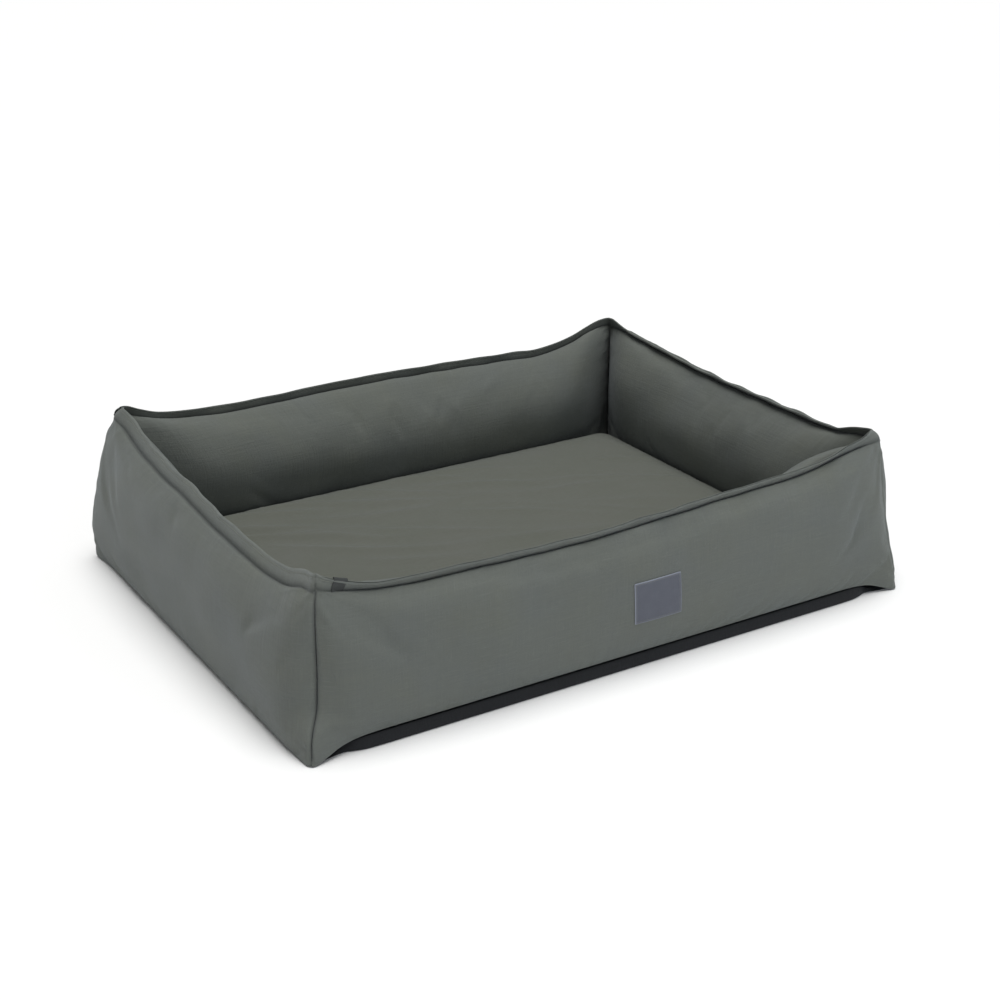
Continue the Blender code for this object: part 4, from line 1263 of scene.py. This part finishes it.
welt_top = welt("cushion_top_welt", CUSHION_X + 0.0002, CUSHION_Y + 0.0002, CUSHION_R, 0.0660, 0.0011)
welt_low = welt("cushion_bottom_welt", CUSHION_X + 0.0002, CUSHION_Y + 0.0002, CUSHION_R, 0.0063, 0.0011)


def slab(name, hx, hy, r, top, bottom, mat, node):
    """A closed soft block between two height functions over a rounded rectangle."""
    Xs, Ys = plan_grid(84, 60, hx, hy, r)
    e = np.minimum(hx - np.abs(Xs), hy - np.abs(Ys))
    zt, zb = top(Xs, Ys), bottom(Xs, Ys)
    mid = (zt + zb) / 2
    k = 0.55 + 0.45 * np.sqrt(1 - (1 - np.clip(e / 0.008, 0, 1)) ** 2)
    zt, zb = mid + (zt - mid) * k, mid + (zb - mid) * k
    n, m = Xs.shape
    verts = np.concatenate([np.stack([Xs, Ys, zt], -1).reshape(-1, 3), np.stack([Xs, Ys, zb], -1).reshape(-1, 3)])
    idx = np.arange(n * m).reshape(n, m)
    f = np.stack([idx[:-1, :-1], idx[1:, :-1], idx[1:, 1:], idx[:-1, 1:]], -1).reshape(-1, 4)
    edge_loop = list(idx[:, 0]) + list(idx[-1, 1:]) + list(idx[-2::-1, -1]) + list(idx[0, -2:0:-1])
    faces = f.tolist() + (f[:, ::-1] + n * m).tolist()
    for a, b in zip(edge_loop, edge_loop[1:] + edge_loop[:1]):
        faces.append((b, a, a + n * m, b + n * m))
    me = bpy.data.meshes.new(name)
    me.from_pydata(verts.tolist(), [], faces)
    bm = bmesh.new()
    bm.from_mesh(me)
    bmesh.ops.recalc_face_normals(bm, faces=bm.faces)
    bm.to_mesh(me)
    bm.free()
    me.polygons.foreach_set("use_smooth", [True] * len(me.polygons))
    o = add(name, me)
    paint(o, mat)
    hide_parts(node)
    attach(o, "cushion")
    return o


CX, CY = CUSHION_X - 0.0118, CUSHION_Y - 0.0118
topper = slab("cushion_wadding", CX, CY, 0.010, lambda x, y: cushion_top_z(x, y) - 0.0030,
              lambda x, y: 0.0622 + 0 * x, WADDING, "cushion_topper")
core = slab("cushion_foam_core", CX, CY, 0.010, lambda x, y: 0.0616 + 0 * x,
            lambda x, y: 0.0060 + 0 * x, FOAM, "cushion_foam")
zip_tape("cushion", np.array((0, CUSHION_Y - BAND_IN + 0.0013, 0)), np.array((1.0, 0, 0)), np.array((0, 1.0, 0)), 0.520,
         0.0312, 0.0568, "cushion")


# ------------------------------------------------------------------ camera, light, floor
def look(az, el):
    a, e = math.radians(az), math.radians(el)
    back = Vector((math.sin(a) * math.cos(e), -math.cos(a) * math.cos(e), math.sin(e)))
    right = Vector((math.cos(a), math.sin(a), 0))
    up = back.cross(right)
    return Matrix((right, up, back)).transposed()


scene = bpy.context.scene
cam = bpy.data.cameras.new("camera")
cam.sensor_width, cam.lens = 36.0, 60.552
cam.clip_start, cam.clip_end = 0.05, 50
co = bpy.data.objects.new("camera", cam)
co.matrix_world = Matrix.Translation((-1.263, -2.067, 1.128)) @ look(-31.74, 22.52).to_4x4()
scene.collection.objects.link(co)
scene.camera = co

floor_me = bpy.data.meshes.new("floor")
floor_me.from_pydata([(-60, -60, 0), (60, -60, 0), (60, 60, 0), (-60, 60, 0)], [], [(0, 1, 2, 3)])
floor = bpy.data.objects.new("floor", floor_me)
floor.location.z = -0.0004
scene.collection.objects.link(floor)
fl = Nodes("studio_floor")
fl.bsdf.inputs["Base Color"].default_value = (0.93, 0.93, 0.935, 1)
fl.bsdf.inputs["Roughness"].default_value = 0.95
fl.bsdf.inputs["Specular IOR Level"].default_value = 0.1
floor_me.materials.append(fl.mat)


def area(name, at, target, size, power, colour=(1, 1, 1), size_y=None):
    l = bpy.data.lights.new(name, "AREA")
    l.shape, l.size, l.size_y = "RECTANGLE", size, size_y or size
    l.energy, l.color = power, colour
    o = bpy.data.objects.new(name, l)
    o.location = at
    o.rotation_euler = (Vector(target) - Vector(at)).to_track_quat("-Z", "Y").to_euler()
    scene.collection.objects.link(o)
    return o


sun = bpy.data.lights.new("overhead", "SUN")
sun.energy, sun.angle, sun.color = 2.60, math.radians(46), (1.0, 0.995, 0.975)
so = bpy.data.objects.new("overhead", sun)
so.rotation_euler = (Vector((0, 0, 0)) - Vector((-0.02, -0.07, 1.0))).to_track_quat("-Z", "Y").to_euler()
scene.collection.objects.link(so)
area("fill_front", (0.6, -2.9, 1.0), (0, 0, 0.1), 2.2, 18, (0.88, 0.94, 1.0))
world = bpy.data.worlds.new("studio")
scene.world = world
world.use_nodes = True
world.node_tree.nodes["Background"].inputs[0].default_value = (0.97, 0.985, 1.0, 1)
world.node_tree.nodes["Background"].inputs[1].default_value = 0.28
scene.view_settings.view_transform = "Standard"
scene.view_settings.look = "None"
scene.view_settings.exposure = 0.0
